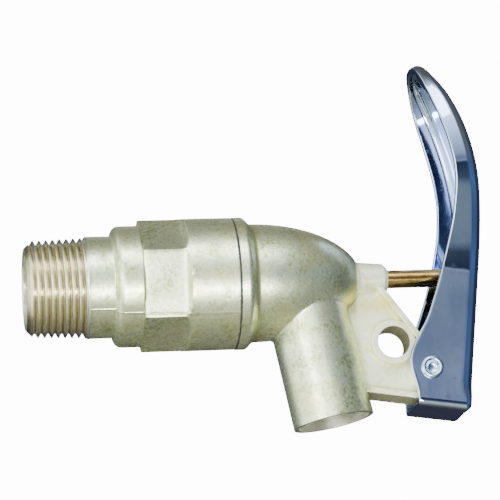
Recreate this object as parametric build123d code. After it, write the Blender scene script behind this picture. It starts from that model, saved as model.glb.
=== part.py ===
from build123d import *
import os
from math import atan2, cos, degrees, radians, sin, sqrt

# A self-closing drum faucet, 3/4 inch. Lengths in millimetres, angles in degrees.
# X runs along the inlet from its open end towards the lever, Z points up and the spout hangs down.

# Lengths along the inlet body, one after the other from the open end
THREAD_LENGTH = 16.1
NECK_LENGTH = 7.2
SHOULDER_LENGTH = 7.2
HEX_LENGTH = 12.3
ROUND_LENGTH = 12.8

# Radii of the inlet body
THREAD_RADIUS = 13.0
THREAD_TAPER = 1 / 32
THREAD_LEAD_IN = 2.0
THREAD_PITCH = 1.814
THREAD_DEPTH = 1.25
NECK_RADIUS = 13.75
NECK_ROOT_FILLET = 0.5
SHOULDER_STEP = 2.6
SHOULDER_ROUND = 2.0
UNION_WALL = 3.57
HEX_TURN = 11.6
HEX_STEP_ROUND = 2.2

# Valve chamber inside the inlet body
CHAMBER_RADIUS = 13.0
LEDGE_WALL = 2.2
LEDGE_WIDTH = 3.5

# Union between the two castings
GASKET_THICKNESS = 0.5
GASKET_INSET = 0.35
SPIGOT_STEP = 1.15
SPIGOT_LENGTH = 10.4
SPIGOT_RELIEF_WIDTH = 1.6
SPIGOT_RELIEF_DEPTH = 0.9
SPIGOT_CLEARANCE = 0.15
SPIGOT_END_ROOM = 0.6

# Flange and elbow dome of the outlet body
FLANGE_THICKNESS = 1.9
FLANGE_SHOULDER = 3.2
FLANGE_STEP = 1.9
DOME_LENGTH = 30.2
DOME_WALL = 2.8

# Spout, which leans away from the inlet
SPOUT_FROM_FLANGE = 18.4
SPOUT_LEAN = 9.3
SPOUT_LENGTH = 39.3
SPOUT_RADIUS = 10.9
SPOUT_WALL = 1.3
SPOUT_BORE_STEP = 0.35
SPOUT_BORE_LENGTH = 22.0
CREASE_FILLET = 1.0

# Boss that the stem comes out of
BOSS_REACH = 42.1
BOSS_ROOT_RADIUS = 5.3
BOSS_TIP_RADIUS = 4.3
BOSS_TAPER_LENGTH = 12.0
BOSS_CHAMFER = 1.2
BOSS_ROOT_FILLET = 0.9
STEM_GUIDE_LENGTH = 20.0
STEM_GUIDE_RADIUS = 4.4

# Pivot of the lever, from the flange and from the inlet axis
PIVOT_FROM_FLANGE = 50.8
PIVOT_DROP = 26.7

# Webbed lug under the boss
WEB_THICKNESS = 3.4
RIB_WIDTH = 9.5
RIB_THICKNESS = 1.7
RIB_SLOPE = 55.0
RIB_TO_PIVOT = 4.85
RIB_TOP_DROP = 3.0
FOOT_SLOPE = 9.1
FOOT_TO_PIVOT = 7.9
LUG_FRONT = 4.6
PIVOT_BOSS_RADIUS = 4.3
PIVOT_BOSS_CLEARANCE = 0.25
PADLOCK_FROM_FLANGE = 41.9
PADLOCK_DROP = 18.35
PADLOCK_RADIUS = 4.3
PADLOCK_RING_WALL = 1.8
PADLOCK_RING_WIDTH = 9.0
RIB_EDGE_FILLET = 0.35

# Stem and its valve
STEM_RADIUS = 2.45
STEM_RUNNING_FIT = 0.08
STEM_END_DOME = 4.0
STEM_TO_LEVER = 0.2
STEM_COLLAR_RADIUS = 3.8
STEM_COLLAR_LENGTH = 1.6
STEM_SCREW_RADIUS = 2.0
STEM_TAIL_RADIUS = 1.5
STEM_TAIL_PAST_SEAT = 1.0
O_RING_SECTION = 1.1
O_RING_STANDOFF = 0.04
O_RING_GROOVE_ROOM = 0.15
O_RING_FLOOR_ROOM = 0.01
O_RING_OUTER_FROM_TIP = 4.6
O_RING_SPACING = 7.2
SEAT_BORE_RADIUS = 7.5
SEAT_LIP_WIDTH = 1.0
SEAT_LIP_HEIGHT = 0.8
SEAT_GAP = 0.05
SEAL_RADIUS = 9.4
SEAL_THICKNESS = 3.0
SEAL_WASHER_RADIUS = 5.6
SEAL_WASHER_THICKNESS = 0.8
POPPET_WALL = 1.0
POPPET_FLOOR = 1.5
POPPET_LIP = 1.6
POPPET_HUB_RADIUS = 6.0
POPPET_HUB_LENGTH = 1.6
POPPET_HUB_TAPER = 0.4
LOCK_WASHER_RADIUS = 4.2
LOCK_WASHER_THICKNESS = 0.9
LOCK_WASHER_SPLIT = 0.8
NUT_ACROSS_FLATS = 7.0
NUT_THICKNESS = 2.8
SCREW_PAST_NUT = 0.7
BORE_CLEARANCE = 0.05

# Spring seat and closing spring
SEAT_RING_THICKNESS = 1.3
SEAT_RING_CLEARANCE = 0.1
SEAT_HUB_RADIUS = 3.3
SEAT_HUB_LENGTH = 5.0
SEAT_ARM_WIDTH = 3.0
SEAT_ARMS = 3
TAIL_CLEARANCE = 0.1
SPRING_WIRE_RADIUS = 0.65
SPRING_TO_CHAMBER = 1.45
SPRING_TO_HUB = 0.75
SPRING_TURNS = 5
SPRING_WIRE_SIDES = 12
SPRING_SEATING = 0.02

# Lever, a pressed channel that widens into a thumb blade
LEVER_SHEET = 1.5
LEVER_WIDTH = 18.0
LEVER_BLADE_WIDTH = 27.5
LEVER_LEAN = 8.4
LEVER_WALL_TO_PIVOT = 11.55
LEVER_TAB_TO_PIVOT = 10.35
LEVER_TAB_SLOPE = 9.1
LEVER_STRAIGHT_ABOVE_PIVOT = 27.0
LEVER_BOW_RADIUS = 155.0
LEVER_CURL_RADIUS = 70.0
LEVER_CURL_TURN = 45.0
LEVER_HEIGHT_ABOVE_PIVOT = 87.9
LEVER_FLARE_START = 27.0
LEVER_BLADE_WIDEST = 60.5
LEVER_CORNER_ROUND = 3.0
LEVER_RIM_DEPTH = 7.0
LEVER_RIM_REACH = 4.0
LEVER_RIM_BEND = 42.0
LEVER_RIM_TURN = 15.0
LEVER_BELLY_BEHIND_PIVOT = 6.2
LEVER_WAIST_BEHIND_PIVOT = 4.4
LEVER_WAIST_BELOW_PIVOT = 5.8
LEVER_CHEEK_BEHIND_PIVOT = 2.2
LEVER_CHEEK_ABOVE_PIVOT = 10.2
LEVER_NECK_AHEAD_OF_PIVOT = 5.0
LEVER_NECK_ABOVE_PIVOT = 27.7

# Rivet at the pivot
RIVET_RADIUS = 2.2
RIVET_HEAD_RADIUS = 2.95
RIVET_HEAD_HEIGHT = 0.9
RIVET_HEAD_ROUND = 0.54
RIVET_DISH_RADIUS = 1.8
RIVET_DISH_FLOOR_RADIUS = 1.1
RIVET_DISH_DEPTH = 1.3
RIVET_SIDE_ROOM = 0.1
RIVET_RUNNING_FIT = 0.08

# Radii that follow from what fits inside
SHOULDER_RADIUS = NECK_RADIUS + SHOULDER_STEP
INLET_BORE_RADIUS = CHAMBER_RADIUS - LEDGE_WIDTH
SPIGOT_RADIUS = CHAMBER_RADIUS + SPIGOT_STEP
SOCKET_RADIUS = SPIGOT_RADIUS + SPIGOT_CLEARANCE
UNION_RADIUS = SOCKET_RADIUS + UNION_WALL
DOME_RADIUS = UNION_RADIUS - FLANGE_STEP
SPRING_WIDE_RADIUS = CHAMBER_RADIUS - SPRING_TO_CHAMBER - SPRING_WIRE_RADIUS
SPRING_NARROW_RADIUS = POPPET_HUB_RADIUS + SPRING_TO_HUB + SPRING_WIRE_RADIUS

# Places along X that follow from the lengths
NECK_START = THREAD_LENGTH
SHOULDER_START = NECK_START + NECK_LENGTH
HEX_START = SHOULDER_START + SHOULDER_LENGTH
ROUND_START = HEX_START + HEX_LENGTH
INLET_BODY_END = ROUND_START + ROUND_LENGTH
FLANGE_FACE = INLET_BODY_END + GASKET_THICKNESS
LEDGE_X = SHOULDER_START + LEDGE_WALL
SPIGOT_END = FLANGE_FACE - SPIGOT_LENGTH
SEAT_X = SPIGOT_END - SEAT_LIP_HEIGHT
DOME_CENTRE = FLANGE_FACE + FLANGE_THICKNESS + FLANGE_SHOULDER
BOSS_END = FLANGE_FACE + BOSS_REACH
STEM_BORE_RADIUS = STEM_RADIUS + STEM_RUNNING_FIT
SEAL_FACE = SEAT_X - SEAT_GAP
SEAL_BACK = SEAL_FACE - SEAL_THICKNESS
POPPET_BACK = SEAL_BACK - POPPET_FLOOR
POPPET_HUB_END = POPPET_BACK - POPPET_HUB_LENGTH
NUT_FACE = POPPET_HUB_END - LOCK_WASHER_THICKNESS
NUT_END = NUT_FACE - NUT_THICKNESS
SEAT_RING_FACE = LEDGE_X + SEAT_RING_THICKNESS
PIVOT_X = FLANGE_FACE + PIVOT_FROM_FLANGE
PIVOT_Z = -PIVOT_DROP
LEVER_INNER_HALF_WIDTH = LEVER_WIDTH / 2 - LEVER_SHEET


def side_solid(face, half_width):
    """Stand a face drawn in X and Z up and widen it evenly to both sides of the middle plane."""
    return extrude(Plane.XZ * face, amount=half_width, both=True)


def turned(points):
    """Turn a closed outline of (x, radius) points about the inlet axis."""
    outline = make_face(Polyline(*points, close=True))
    return revolve(Plane.XZ * outline, axis=Axis.X)


def ring(x_start, x_end, outer_radius, inner_radius=0.0):
    """A plain ring or disc on the inlet axis."""
    points = [(x_start, inner_radius), (x_end, inner_radius), (x_end, outer_radius), (x_start, outer_radius)]
    return turned(points)


def along_y(x, z, radius, half_width):
    """A cylinder across the middle plane."""
    return Pos(x, 0, z) * Rot(90, 0, 0) * Cylinder(radius, 2 * half_width)


def thread_radius_at(x):
    """Radius of the tapered crest at a distance from the open end."""
    return THREAD_RADIUS + THREAD_TAPER * x


def thread_grooves():
    """Outline points of the thread, as ring-shaped grooves one pitch apart between sharp crests."""
    points = []
    for groove in range(int((THREAD_LENGTH - THREAD_LEAD_IN) / THREAD_PITCH)):
        crest = THREAD_LEAD_IN + groove * THREAD_PITCH
        root = crest + THREAD_PITCH / 2
        points.append((crest, thread_radius_at(crest)))
        points.append((root, thread_radius_at(root) - THREAD_DEPTH))
    last_crest = crest + THREAD_PITCH
    return [*points, (last_crest, thread_radius_at(last_crest))]


def hexagon_cuts():
    """Six flats between the shoulder and the round part, each with a rounded step at its far end."""
    flat_height = UNION_RADIUS * cos(radians(30))
    reach = UNION_RADIUS + 1
    step = ROUND_START - HEX_STEP_ROUND
    edge = Polyline((step, flat_height), (HEX_START, flat_height), (HEX_START, reach), (ROUND_START, reach),
                    (ROUND_START, flat_height + HEX_STEP_ROUND))
    bend = JernArc(edge @ 0, (1, 0), HEX_STEP_ROUND, 90)
    cutter = side_solid(make_face([*edge.edges(), bend]), UNION_RADIUS)
    return [Rot(90 + HEX_TURN + 60 * turn, 0, 0) * cutter for turn in range(6)]


def inlet_body():
    """Threaded inlet, shoulder, hexagon and union part in one hollow casting."""
    outside = turned([
        (0, 0),
        (0, THREAD_RADIUS - THREAD_LEAD_IN),
        *thread_grooves(),
        (THREAD_LENGTH, thread_radius_at(THREAD_LENGTH)),
        (THREAD_LENGTH, NECK_RADIUS),
        (SHOULDER_START, NECK_RADIUS),
        (SHOULDER_START, SHOULDER_RADIUS),
        (HEX_START, SHOULDER_RADIUS),
        (HEX_START, UNION_RADIUS),
        (INLET_BODY_END, UNION_RADIUS),
        (INLET_BODY_END, 0),
    ])
    shoulder_edge = outside.edges().filter_by(GeomType.CIRCLE).filter_by(
        lambda edge: abs(edge.center().X - SHOULDER_START) < 0.01 and edge.radius > SHOULDER_RADIUS - 0.01)
    outside = fillet(shoulder_edge, SHOULDER_ROUND)
    neck_edge = outside.edges().filter_by(GeomType.CIRCLE).filter_by(
        lambda edge: abs(edge.center().X - SHOULDER_START) < 0.01 and edge.radius < NECK_RADIUS + 0.01)
    outside = fillet(neck_edge, NECK_ROOT_FILLET)
    for cutter in hexagon_cuts():
        outside -= cutter
    bore = ring(-1, LEDGE_X + 1, INLET_BORE_RADIUS)
    chamber = ring(LEDGE_X, SPIGOT_END, CHAMBER_RADIUS)
    socket = ring(SPIGOT_END - SPIGOT_END_ROOM, INLET_BODY_END + 1, SOCKET_RADIUS)
    return outside - bore - chamber - socket


def body_gasket():
    """Flat ring squeezed between the end of the inlet body and the flange."""
    return ring(INLET_BODY_END, FLANGE_FACE, UNION_RADIUS - GASKET_INSET, SOCKET_RADIUS)


def dome(radius, length):
    """Half ellipsoid of the elbow, drawn from the end of the flange's shoulder."""
    ellipse = Pos(DOME_CENTRE, 0) * Ellipse(length, radius)
    upper_right = Pos(DOME_CENTRE + length, radius) * Rectangle(2 * length, 2 * radius)
    return revolve(Plane.XZ * (ellipse & upper_right), axis=Axis.X)


def outlet_core():
    """Spigot, flange and dome, solid, as turned on the inlet axis."""
    relief_end = FLANGE_FACE - SPIGOT_RELIEF_WIDTH
    relief_radius = SPIGOT_RADIUS - SPIGOT_RELIEF_DEPTH
    flange_end = FLANGE_FACE + FLANGE_THICKNESS
    lip_radius = SEAT_BORE_RADIUS + SEAT_LIP_WIDTH
    outline = Polyline(
        (flange_end, UNION_RADIUS),
        (FLANGE_FACE, UNION_RADIUS),
        (FLANGE_FACE, relief_radius),
        (relief_end, relief_radius),
        (relief_end, SPIGOT_RADIUS),
        (SPIGOT_END, SPIGOT_RADIUS),
        (SPIGOT_END, lip_radius),
        (SEAT_X, lip_radius),
        (SEAT_X, 0),
        (DOME_CENTRE, 0),
        (DOME_CENTRE, DOME_RADIUS),
    )
    shoulder = Spline((DOME_CENTRE, DOME_RADIUS), (flange_end, UNION_RADIUS), tangents=[(-1, 0), (-1, 0)])
    turned_part = revolve(Plane.XZ * make_face([*outline.edges(), shoulder]), axis=Axis.X)
    return turned_part + dome(DOME_RADIUS, DOME_LENGTH)


def spout_cylinder(radius, start, end):
    """A cylinder on the spout's axis, from one distance along it to another."""
    foot = Pos(FLANGE_FACE + SPOUT_FROM_FLANGE, 0, 0) * Rot(0, 180 - SPOUT_LEAN, 0)
    return foot * Pos(0, 0, (start + end) / 2) * Cylinder(radius, end - start)


def stem_boss():
    """Tapered boss on the stem's axis, chamfered at its mouth."""
    taper_start = BOSS_END - BOSS_CHAMFER - BOSS_TAPER_LENGTH
    return turned([
        (DOME_CENTRE, 0),
        (DOME_CENTRE, BOSS_ROOT_RADIUS),
        (taper_start, BOSS_ROOT_RADIUS),
        (BOSS_END - BOSS_CHAMFER, BOSS_TIP_RADIUS),
        (BOSS_END, BOSS_TIP_RADIUS - BOSS_CHAMFER),
        (BOSS_END, 0),
    ])


def lug_outline(inset):
    """Side view of the lug, or of the field inside its rib: slanted top, nose round the pivot, sloping foot."""
    rib_along = Vector(cos(radians(RIB_SLOPE)), -sin(radians(RIB_SLOPE)))
    rib_out = Vector(sin(radians(RIB_SLOPE)), cos(radians(RIB_SLOPE)))
    foot_along = Vector(cos(radians(FOOT_SLOPE)), -sin(radians(FOOT_SLOPE)))
    foot_out = Vector(-sin(radians(FOOT_SLOPE)), -cos(radians(FOOT_SLOPE)))
    pivot = Vector(PIVOT_X, PIVOT_Z)
    rib_radius = RIB_TO_PIVOT - inset
    foot_radius = FOOT_TO_PIVOT - inset
    front = LUG_FRONT - inset
    back = FLANGE_FACE + SPOUT_FROM_FLANGE
    rib_touch = pivot + rib_out * rib_radius
    rib_top = rib_touch + rib_along * ((rib_touch.Y + RIB_TOP_DROP) / sin(radians(RIB_SLOPE)))
    foot_touch = pivot + foot_out * foot_radius
    foot_back = foot_touch - foot_along * ((foot_touch.X - back) / cos(radians(FOOT_SLOPE)))
    nose_top = pivot + Vector(rib_radius, 0)
    nose_low = pivot + Vector(front, -sqrt(foot_radius ** 2 - front ** 2))
    upper_mid = pivot + Vector(1, 0).rotate(Axis.Z, (90 - RIB_SLOPE) / 2) * rib_radius
    lower_mid = pivot + (nose_low + foot_touch - pivot * 2).normalized() * foot_radius
    sides = [Line(rib_top, rib_touch), ThreePointArc(rib_touch, upper_mid, nose_top), Line(nose_top, nose_low),
             ThreePointArc(nose_low, lower_mid, foot_touch), Line(foot_touch, foot_back)]
    close = Polyline(foot_back, (back, -RIB_TOP_DROP), rib_top)
    return make_face([*sides, *close.edges()])


def edges_at_side(shape, distance):
    """Edges that lie flat at a distance to either side of the middle plane."""
    return shape.edges().filter_by(
        lambda edge: all(abs(abs((edge @ along).Y) - distance) < 0.001 for along in (0.1, 0.5, 0.9)))


def padlock_ring():
    """Raised ring round the padlock hole, filled in."""
    padlock_x = FLANGE_FACE + PADLOCK_FROM_FLANGE
    ring_radius = PADLOCK_RADIUS + PADLOCK_RING_WALL
    disc = along_y(padlock_x, -PADLOCK_DROP, ring_radius, PADLOCK_RING_WIDTH / 2)
    return fillet(edges_at_side(disc, PADLOCK_RING_WIDTH / 2), RIB_EDGE_FILLET)


def lug():
    """Web with a rib round its edge, a raised padlock ring and a wide pivot boss."""
    outline = lug_outline(0)
    rib = side_solid(outline - lug_outline(RIB_THICKNESS), RIB_WIDTH / 2)
    boss_half_width = LEVER_INNER_HALF_WIDTH - PIVOT_BOSS_CLEARANCE
    shape = side_solid(outline, WEB_THICKNESS / 2)
    shape += fillet(edges_at_side(rib, RIB_WIDTH / 2), RIB_EDGE_FILLET)
    shape += padlock_ring()
    shape += along_y(PIVOT_X, PIVOT_Z, PIVOT_BOSS_RADIUS, boss_half_width)
    shape -= along_y(FLANGE_FACE + PADLOCK_FROM_FLANGE, -PADLOCK_DROP, PADLOCK_RADIUS, RIB_WIDTH)
    shape -= along_y(PIVOT_X, PIVOT_Z, RIVET_RADIUS + BORE_CLEARANCE, LEVER_WIDTH)
    return shape


def outlet_passage():
    """Space that the liquid runs through, round the stem's guide."""
    inner_radius = DOME_RADIUS - DOME_WALL
    throat = turned([
        (SEAT_X - 1, 0),
        (SEAT_X - 1, SEAT_BORE_RADIUS),
        (SPIGOT_END + SPIGOT_RELIEF_WIDTH, SEAT_BORE_RADIUS),
        (DOME_CENTRE, inner_radius),
        (DOME_CENTRE, 0),
    ])
    passage = throat + dome(inner_radius, DOME_LENGTH - DOME_WALL)
    bore_radius = SPOUT_RADIUS - SPOUT_WALL
    passage += spout_cylinder(bore_radius - SPOUT_BORE_STEP, 0, SPOUT_LENGTH)
    passage += spout_cylinder(bore_radius, SPOUT_LENGTH - SPOUT_BORE_LENGTH, SPOUT_LENGTH + 1)
    return passage - ring(BOSS_END - STEM_GUIDE_LENGTH, BOSS_END, STEM_GUIDE_RADIUS)


def outlet_body():
    """Die-cast elbow with its spigot, dome, spout, stem boss and webbed lug."""
    shell = outlet_core() + spout_cylinder(SPOUT_RADIUS, 0, SPOUT_LENGTH)
    crease = shell.edges().filter_by(GeomType.BSPLINE).filter_by(
        lambda edge: (edge @ 0.5).X > DOME_CENTRE and edge.length > 4 * SPOUT_RADIUS)
    shell = fillet(crease, CREASE_FILLET) + stem_boss()
    root = shell.edges().filter_by(GeomType.BSPLINE).filter_by(
        lambda edge: (edge @ 0.5).X > DOME_CENTRE and BOSS_TIP_RADIUS < -(edge @ 0.5).Z < BOSS_ROOT_RADIUS)
    shell = fillet(root, BOSS_ROOT_FILLET)
    body = shell + lug()
    body -= outlet_passage()
    return body - ring(BOSS_END - STEM_GUIDE_LENGTH - 1, BOSS_END + 1, STEM_BORE_RADIUS)


def spring_seat():
    """Spider ring on the chamber's ledge, whose long hub guides the stem's tail."""
    seat = ring(LEDGE_X, SEAT_RING_FACE, CHAMBER_RADIUS - SEAT_RING_CLEARANCE, INLET_BORE_RADIUS)
    seat += ring(SEAT_RING_FACE - SEAT_HUB_LENGTH, SEAT_RING_FACE, SEAT_HUB_RADIUS)
    arm_reach = INLET_BORE_RADIUS + SEAT_RING_CLEARANCE
    arm = Box(SEAT_RING_THICKNESS, SEAT_ARM_WIDTH, arm_reach)
    arm = Pos((LEDGE_X + SEAT_RING_FACE) / 2, 0, arm_reach / 2) * arm
    for turn in range(SEAT_ARMS):
        seat += Rot(360 / SEAT_ARMS * turn, 0, 0) * arm
    return seat - ring(LEDGE_X - SEAT_HUB_LENGTH, SEAT_RING_FACE + 1, STEM_TAIL_RADIUS + TAIL_CLEARANCE)


def closing_spring():
    """Conical wire spring between the spider ring and the back of the poppet."""
    start = SEAT_RING_FACE + SPRING_WIRE_RADIUS + SPRING_SEATING
    end = POPPET_BACK - SPRING_WIRE_RADIUS - SPRING_SEATING
    height = end - start
    cone = degrees(atan2(SPRING_WIDE_RADIUS - SPRING_NARROW_RADIUS, height))
    path = Helix(height / SPRING_TURNS, height, SPRING_WIDE_RADIUS, cone_angle=-cone)
    section = Plane(origin=path @ 0, z_dir=path % 0) * RegularPolygon(SPRING_WIRE_RADIUS, SPRING_WIRE_SIDES)
    coil = sweep(section, path=path, is_frenet=True)
    return Pos(start, 0, 0) * Rot(0, 90, 0) * coil


def stem_end_x():
    """Where the stem's rounded end stops short of the lever's inner wall at rest."""
    wall = LEVER_WALL_TO_PIVOT - LEVER_SHEET - STEM_END_DOME - STEM_TO_LEVER
    dome_centre = (wall + PIVOT_DROP * sin(radians(LEVER_LEAN))) / cos(radians(LEVER_LEAN))
    return PIVOT_X + dome_centre + STEM_END_DOME


def o_ring_places():
    """Middle of the outer and the inner O-ring along the stem."""
    outer = BOSS_END - O_RING_OUTER_FROM_TIP
    return [outer, outer - O_RING_SPACING]


def stem():
    """Turned rod: tail, screw, collar, two O-ring grooves and the rounded end at the lever."""
    tip = stem_end_x()
    dome_height = STEM_END_DOME - sqrt(STEM_END_DOME ** 2 - STEM_RADIUS ** 2)
    tail_end = LEDGE_X - STEM_TAIL_PAST_SEAT
    screw_end = NUT_END - SCREW_PAST_NUT
    collar_start = SEAL_FACE + SEAL_WASHER_THICKNESS
    collar_end = collar_start + STEM_COLLAR_LENGTH
    groove_half = (O_RING_SECTION + O_RING_GROOVE_ROOM) / 2
    groove_floor = STEM_BORE_RADIUS - O_RING_STANDOFF - O_RING_SECTION
    outline = [
        (tail_end, 0),
        (tail_end, STEM_TAIL_RADIUS),
        (screw_end, STEM_TAIL_RADIUS),
        (screw_end, STEM_SCREW_RADIUS),
        (collar_start, STEM_SCREW_RADIUS),
        (collar_start, STEM_COLLAR_RADIUS),
        (collar_end, STEM_COLLAR_RADIUS),
        (collar_end, STEM_RADIUS),
    ]
    for place in reversed(o_ring_places()):
        outline += [
            (place - groove_half, STEM_RADIUS),
            (place - groove_half, groove_floor),
            (place + groove_half, groove_floor),
            (place + groove_half, STEM_RADIUS),
        ]
    outline.append((tip - dome_height, STEM_RADIUS))
    side = Polyline(*outline)
    end = RadiusArc(side @ 1, (tip, 0), STEM_END_DOME)
    centre_line = Line((tip, 0), (tail_end, 0))
    return revolve(Plane.XZ * make_face([*side.edges(), end, centre_line]), axis=Axis.X)


def stem_o_ring(place):
    """Rubber ring in its groove, a hair clear of the bore."""
    middle = STEM_BORE_RADIUS - O_RING_STANDOFF - O_RING_SECTION / 2
    return Pos(place, 0, 0) * Rot(0, 90, 0) * Torus(middle, O_RING_SECTION / 2 - O_RING_FLOOR_ROOM)


def seal_washer():
    """Washer that spreads the collar's load on the rubber."""
    return ring(SEAL_FACE, SEAL_FACE + SEAL_WASHER_THICKNESS, SEAL_WASHER_RADIUS,
                STEM_SCREW_RADIUS + BORE_CLEARANCE)


def poppet_seal():
    """Rubber disc that closes the seat."""
    return ring(SEAL_BACK, SEAL_FACE, SEAL_RADIUS, STEM_SCREW_RADIUS + BORE_CLEARANCE)


def poppet():
    """Turned cup that carries the seal and centres the spring on its hub."""
    cup_inner = SEAL_RADIUS + BORE_CLEARANCE
    cup_outer = cup_inner + POPPET_WALL
    hole = STEM_SCREW_RADIUS + BORE_CLEARANCE
    return turned([
        (POPPET_HUB_END, hole),
        (SEAL_BACK, hole),
        (SEAL_BACK, cup_inner),
        (SEAL_BACK + POPPET_LIP, cup_inner),
        (SEAL_BACK + POPPET_LIP, cup_outer),
        (POPPET_BACK, cup_outer),
        (POPPET_BACK, POPPET_HUB_RADIUS),
        (POPPET_HUB_END, POPPET_HUB_RADIUS - POPPET_HUB_TAPER),
    ])


def lock_washer():
    """Split washer under the nut."""
    washer = ring(NUT_FACE, POPPET_HUB_END, LOCK_WASHER_RADIUS, STEM_SCREW_RADIUS + BORE_CLEARANCE)
    split = Pos((NUT_FACE + POPPET_HUB_END) / 2, 0, LOCK_WASHER_RADIUS) * Box(
        LOCK_WASHER_THICKNESS * 2, LOCK_WASHER_SPLIT, LOCK_WASHER_RADIUS * 2 - STEM_SCREW_RADIUS)
    return washer - split


def poppet_nut():
    """Hexagon nut that clamps the poppet on the stem."""
    corner = NUT_ACROSS_FLATS / sqrt(3)
    hexagon = Plane.YZ.offset(NUT_END) * RegularPolygon(corner, 6)
    body = extrude(hexagon, amount=NUT_THICKNESS)
    rounding = turned([
        (NUT_END, 0),
        (NUT_END, NUT_ACROSS_FLATS / 2),
        (NUT_END + (corner - NUT_ACROSS_FLATS / 2), corner),
        (NUT_FACE, corner),
        (NUT_FACE, 0),
    ])
    return (body & rounding) - ring(NUT_END - 1, NUT_FACE + 1, STEM_SCREW_RADIUS + BORE_CLEARANCE)


def lever_back(inset):
    """Curve of the lever's back wall in side view, moved in by a distance: straight, bowed, then curled."""
    up = Vector(sin(radians(LEVER_LEAN)), cos(radians(LEVER_LEAN)))
    out = Vector(cos(radians(LEVER_LEAN)), -sin(radians(LEVER_LEAN)))
    foot = Vector(PIVOT_X, PIVOT_Z) + out * (LEVER_WALL_TO_PIVOT - inset)
    straight = Line(foot - up * 2 * LEVER_TAB_TO_PIVOT, foot + up * LEVER_STRAIGHT_ABOVE_PIVOT)
    bow = JernArc(straight @ 1, up, LEVER_BOW_RADIUS - inset, LEVER_LEAN)
    curl = JernArc(bow @ 1, (0, 1), LEVER_CURL_RADIUS - inset, LEVER_CURL_TURN)
    return [straight, bow, curl]


def lever_side(inset):
    """Side view of the lever's outer form, or of its hollow when moved in by the sheet."""
    back = lever_back(inset)
    reach = LEVER_WALL_TO_PIVOT * 3
    top = back[2] @ 1
    bottom = back[0] @ 0
    front = Polyline(top, (PIVOT_X - reach, top.Y), (PIVOT_X - reach, bottom.Y), bottom)
    face = make_face([*back, *front.edges()])
    slope = -LEVER_TAB_SLOPE
    tab = Pos(PIVOT_X, PIVOT_Z) * Rot(0, 0, slope) * Pos(0, inset - LEVER_TAB_TO_PIVOT - reach) * Rectangle(
        4 * reach, 2 * reach)
    return face - tab


def lever_rim():
    """Region behind the front edge of the two flanges: belly round the pivot, waist and shallow blade."""
    rim_x = (lever_back(LEVER_RIM_DEPTH)[2] @ 0).X
    rim_z = (lever_back(0)[2] @ 0).Y
    belly = (PIVOT_X - LEVER_BELLY_BEHIND_PIVOT, PIVOT_Z)
    waist = (PIVOT_X - LEVER_WAIST_BEHIND_PIVOT, PIVOT_Z - LEVER_WAIST_BELOW_PIVOT)
    cheek = (PIVOT_X - LEVER_CHEEK_BEHIND_PIVOT, PIVOT_Z + LEVER_CHEEK_ABOVE_PIVOT)
    neck = (PIVOT_X + LEVER_NECK_AHEAD_OF_PIVOT, PIVOT_Z + LEVER_NECK_ABOVE_PIVOT)
    foot = (waist[0], PIVOT_Z - 2 * LEVER_TAB_TO_PIVOT)
    lower = Line(foot, waist)
    edge = Spline(waist, belly, cheek, neck, (rim_x, rim_z + LEVER_RIM_REACH),
                  tangents=[(0, 1), (0, 1)], tangent_scalars=[1, 1])
    bend = JernArc(edge @ 1, (0, 1), LEVER_RIM_BEND, LEVER_RIM_TURN)
    upper = Line(bend @ 1, (bend @ 1) + (bend % 1) * LEVER_CURL_RADIUS)
    far_x = PIVOT_X + LEVER_CURL_RADIUS
    close = Polyline(upper @ 1, (far_x, (upper @ 1).Y), (far_x, foot[1]), foot)
    return make_face([lower, edge, bend, upper, *close.edges()])


def lever_front(inset):
    """Front view of the lever, in Y and Z: parallel flanges, flared blade and rounded tip."""
    half = LEVER_WIDTH / 2 - inset
    wide = LEVER_BLADE_WIDTH / 2 - inset
    flare = PIVOT_Z + LEVER_FLARE_START
    widest = PIVOT_Z + LEVER_BLADE_WIDEST
    tip = PIVOT_Z + LEVER_HEIGHT_ABOVE_PIVOT - inset
    bottom = PIVOT_Z - 2 * LEVER_TAB_TO_PIVOT
    straight = Line((half, bottom), (half, flare))
    flank = Spline((half, flare), (wide, widest), tangents=[(0, 1), (0, 1)])
    crown = Spline((wide, widest), (0, tip), tangents=[(0, 1), (-1, 0)])
    close = Polyline((0, tip), (0, bottom), (half, bottom))
    right = make_face([straight, flank, crown, *close.edges()])
    return right + mirror(right, Plane.YZ)


def lever_form(inset):
    """Block of the lever's form with its long back corners rounded."""
    block = side_solid(lever_side(inset), LEVER_BLADE_WIDTH)
    outline = Plane.YZ.offset(PIVOT_X - LEVER_CURL_RADIUS) * lever_front(inset)
    block &= extrude(outline, amount=2 * LEVER_CURL_RADIUS)
    return block


def back_corners(block, inset):
    """Edges where the back wall meets the flanges."""
    half = LEVER_WIDTH / 2 - inset

    def on_corner(edge):
        middle = edge @ 0.5
        normals = [face.normal_at(middle) for face in block.faces() if face.distance_to(middle) < 0.001]
        faces_back = any(normal.X > 0.6 for normal in normals)
        faces_side = any(abs(normal.Y) > 0.5 for normal in normals)
        return faces_back and faces_side and abs(middle.Y) > half * 0.5

    return block.edges().filter_by(on_corner)


def lever():
    """Pressed channel, open towards the body, with its bottom tab and rivet holes."""
    outer = lever_form(0)
    inner = lever_form(LEVER_SHEET)
    outer = fillet(back_corners(outer, 0), LEVER_CORNER_ROUND)
    inner = fillet(back_corners(inner, LEVER_SHEET), LEVER_CORNER_ROUND - LEVER_SHEET)
    shell = outer - inner
    shell &= side_solid(lever_rim(), LEVER_BLADE_WIDTH)
    return shell - along_y(PIVOT_X, PIVOT_Z, RIVET_RADIUS + RIVET_RUNNING_FIT, LEVER_WIDTH)


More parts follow.
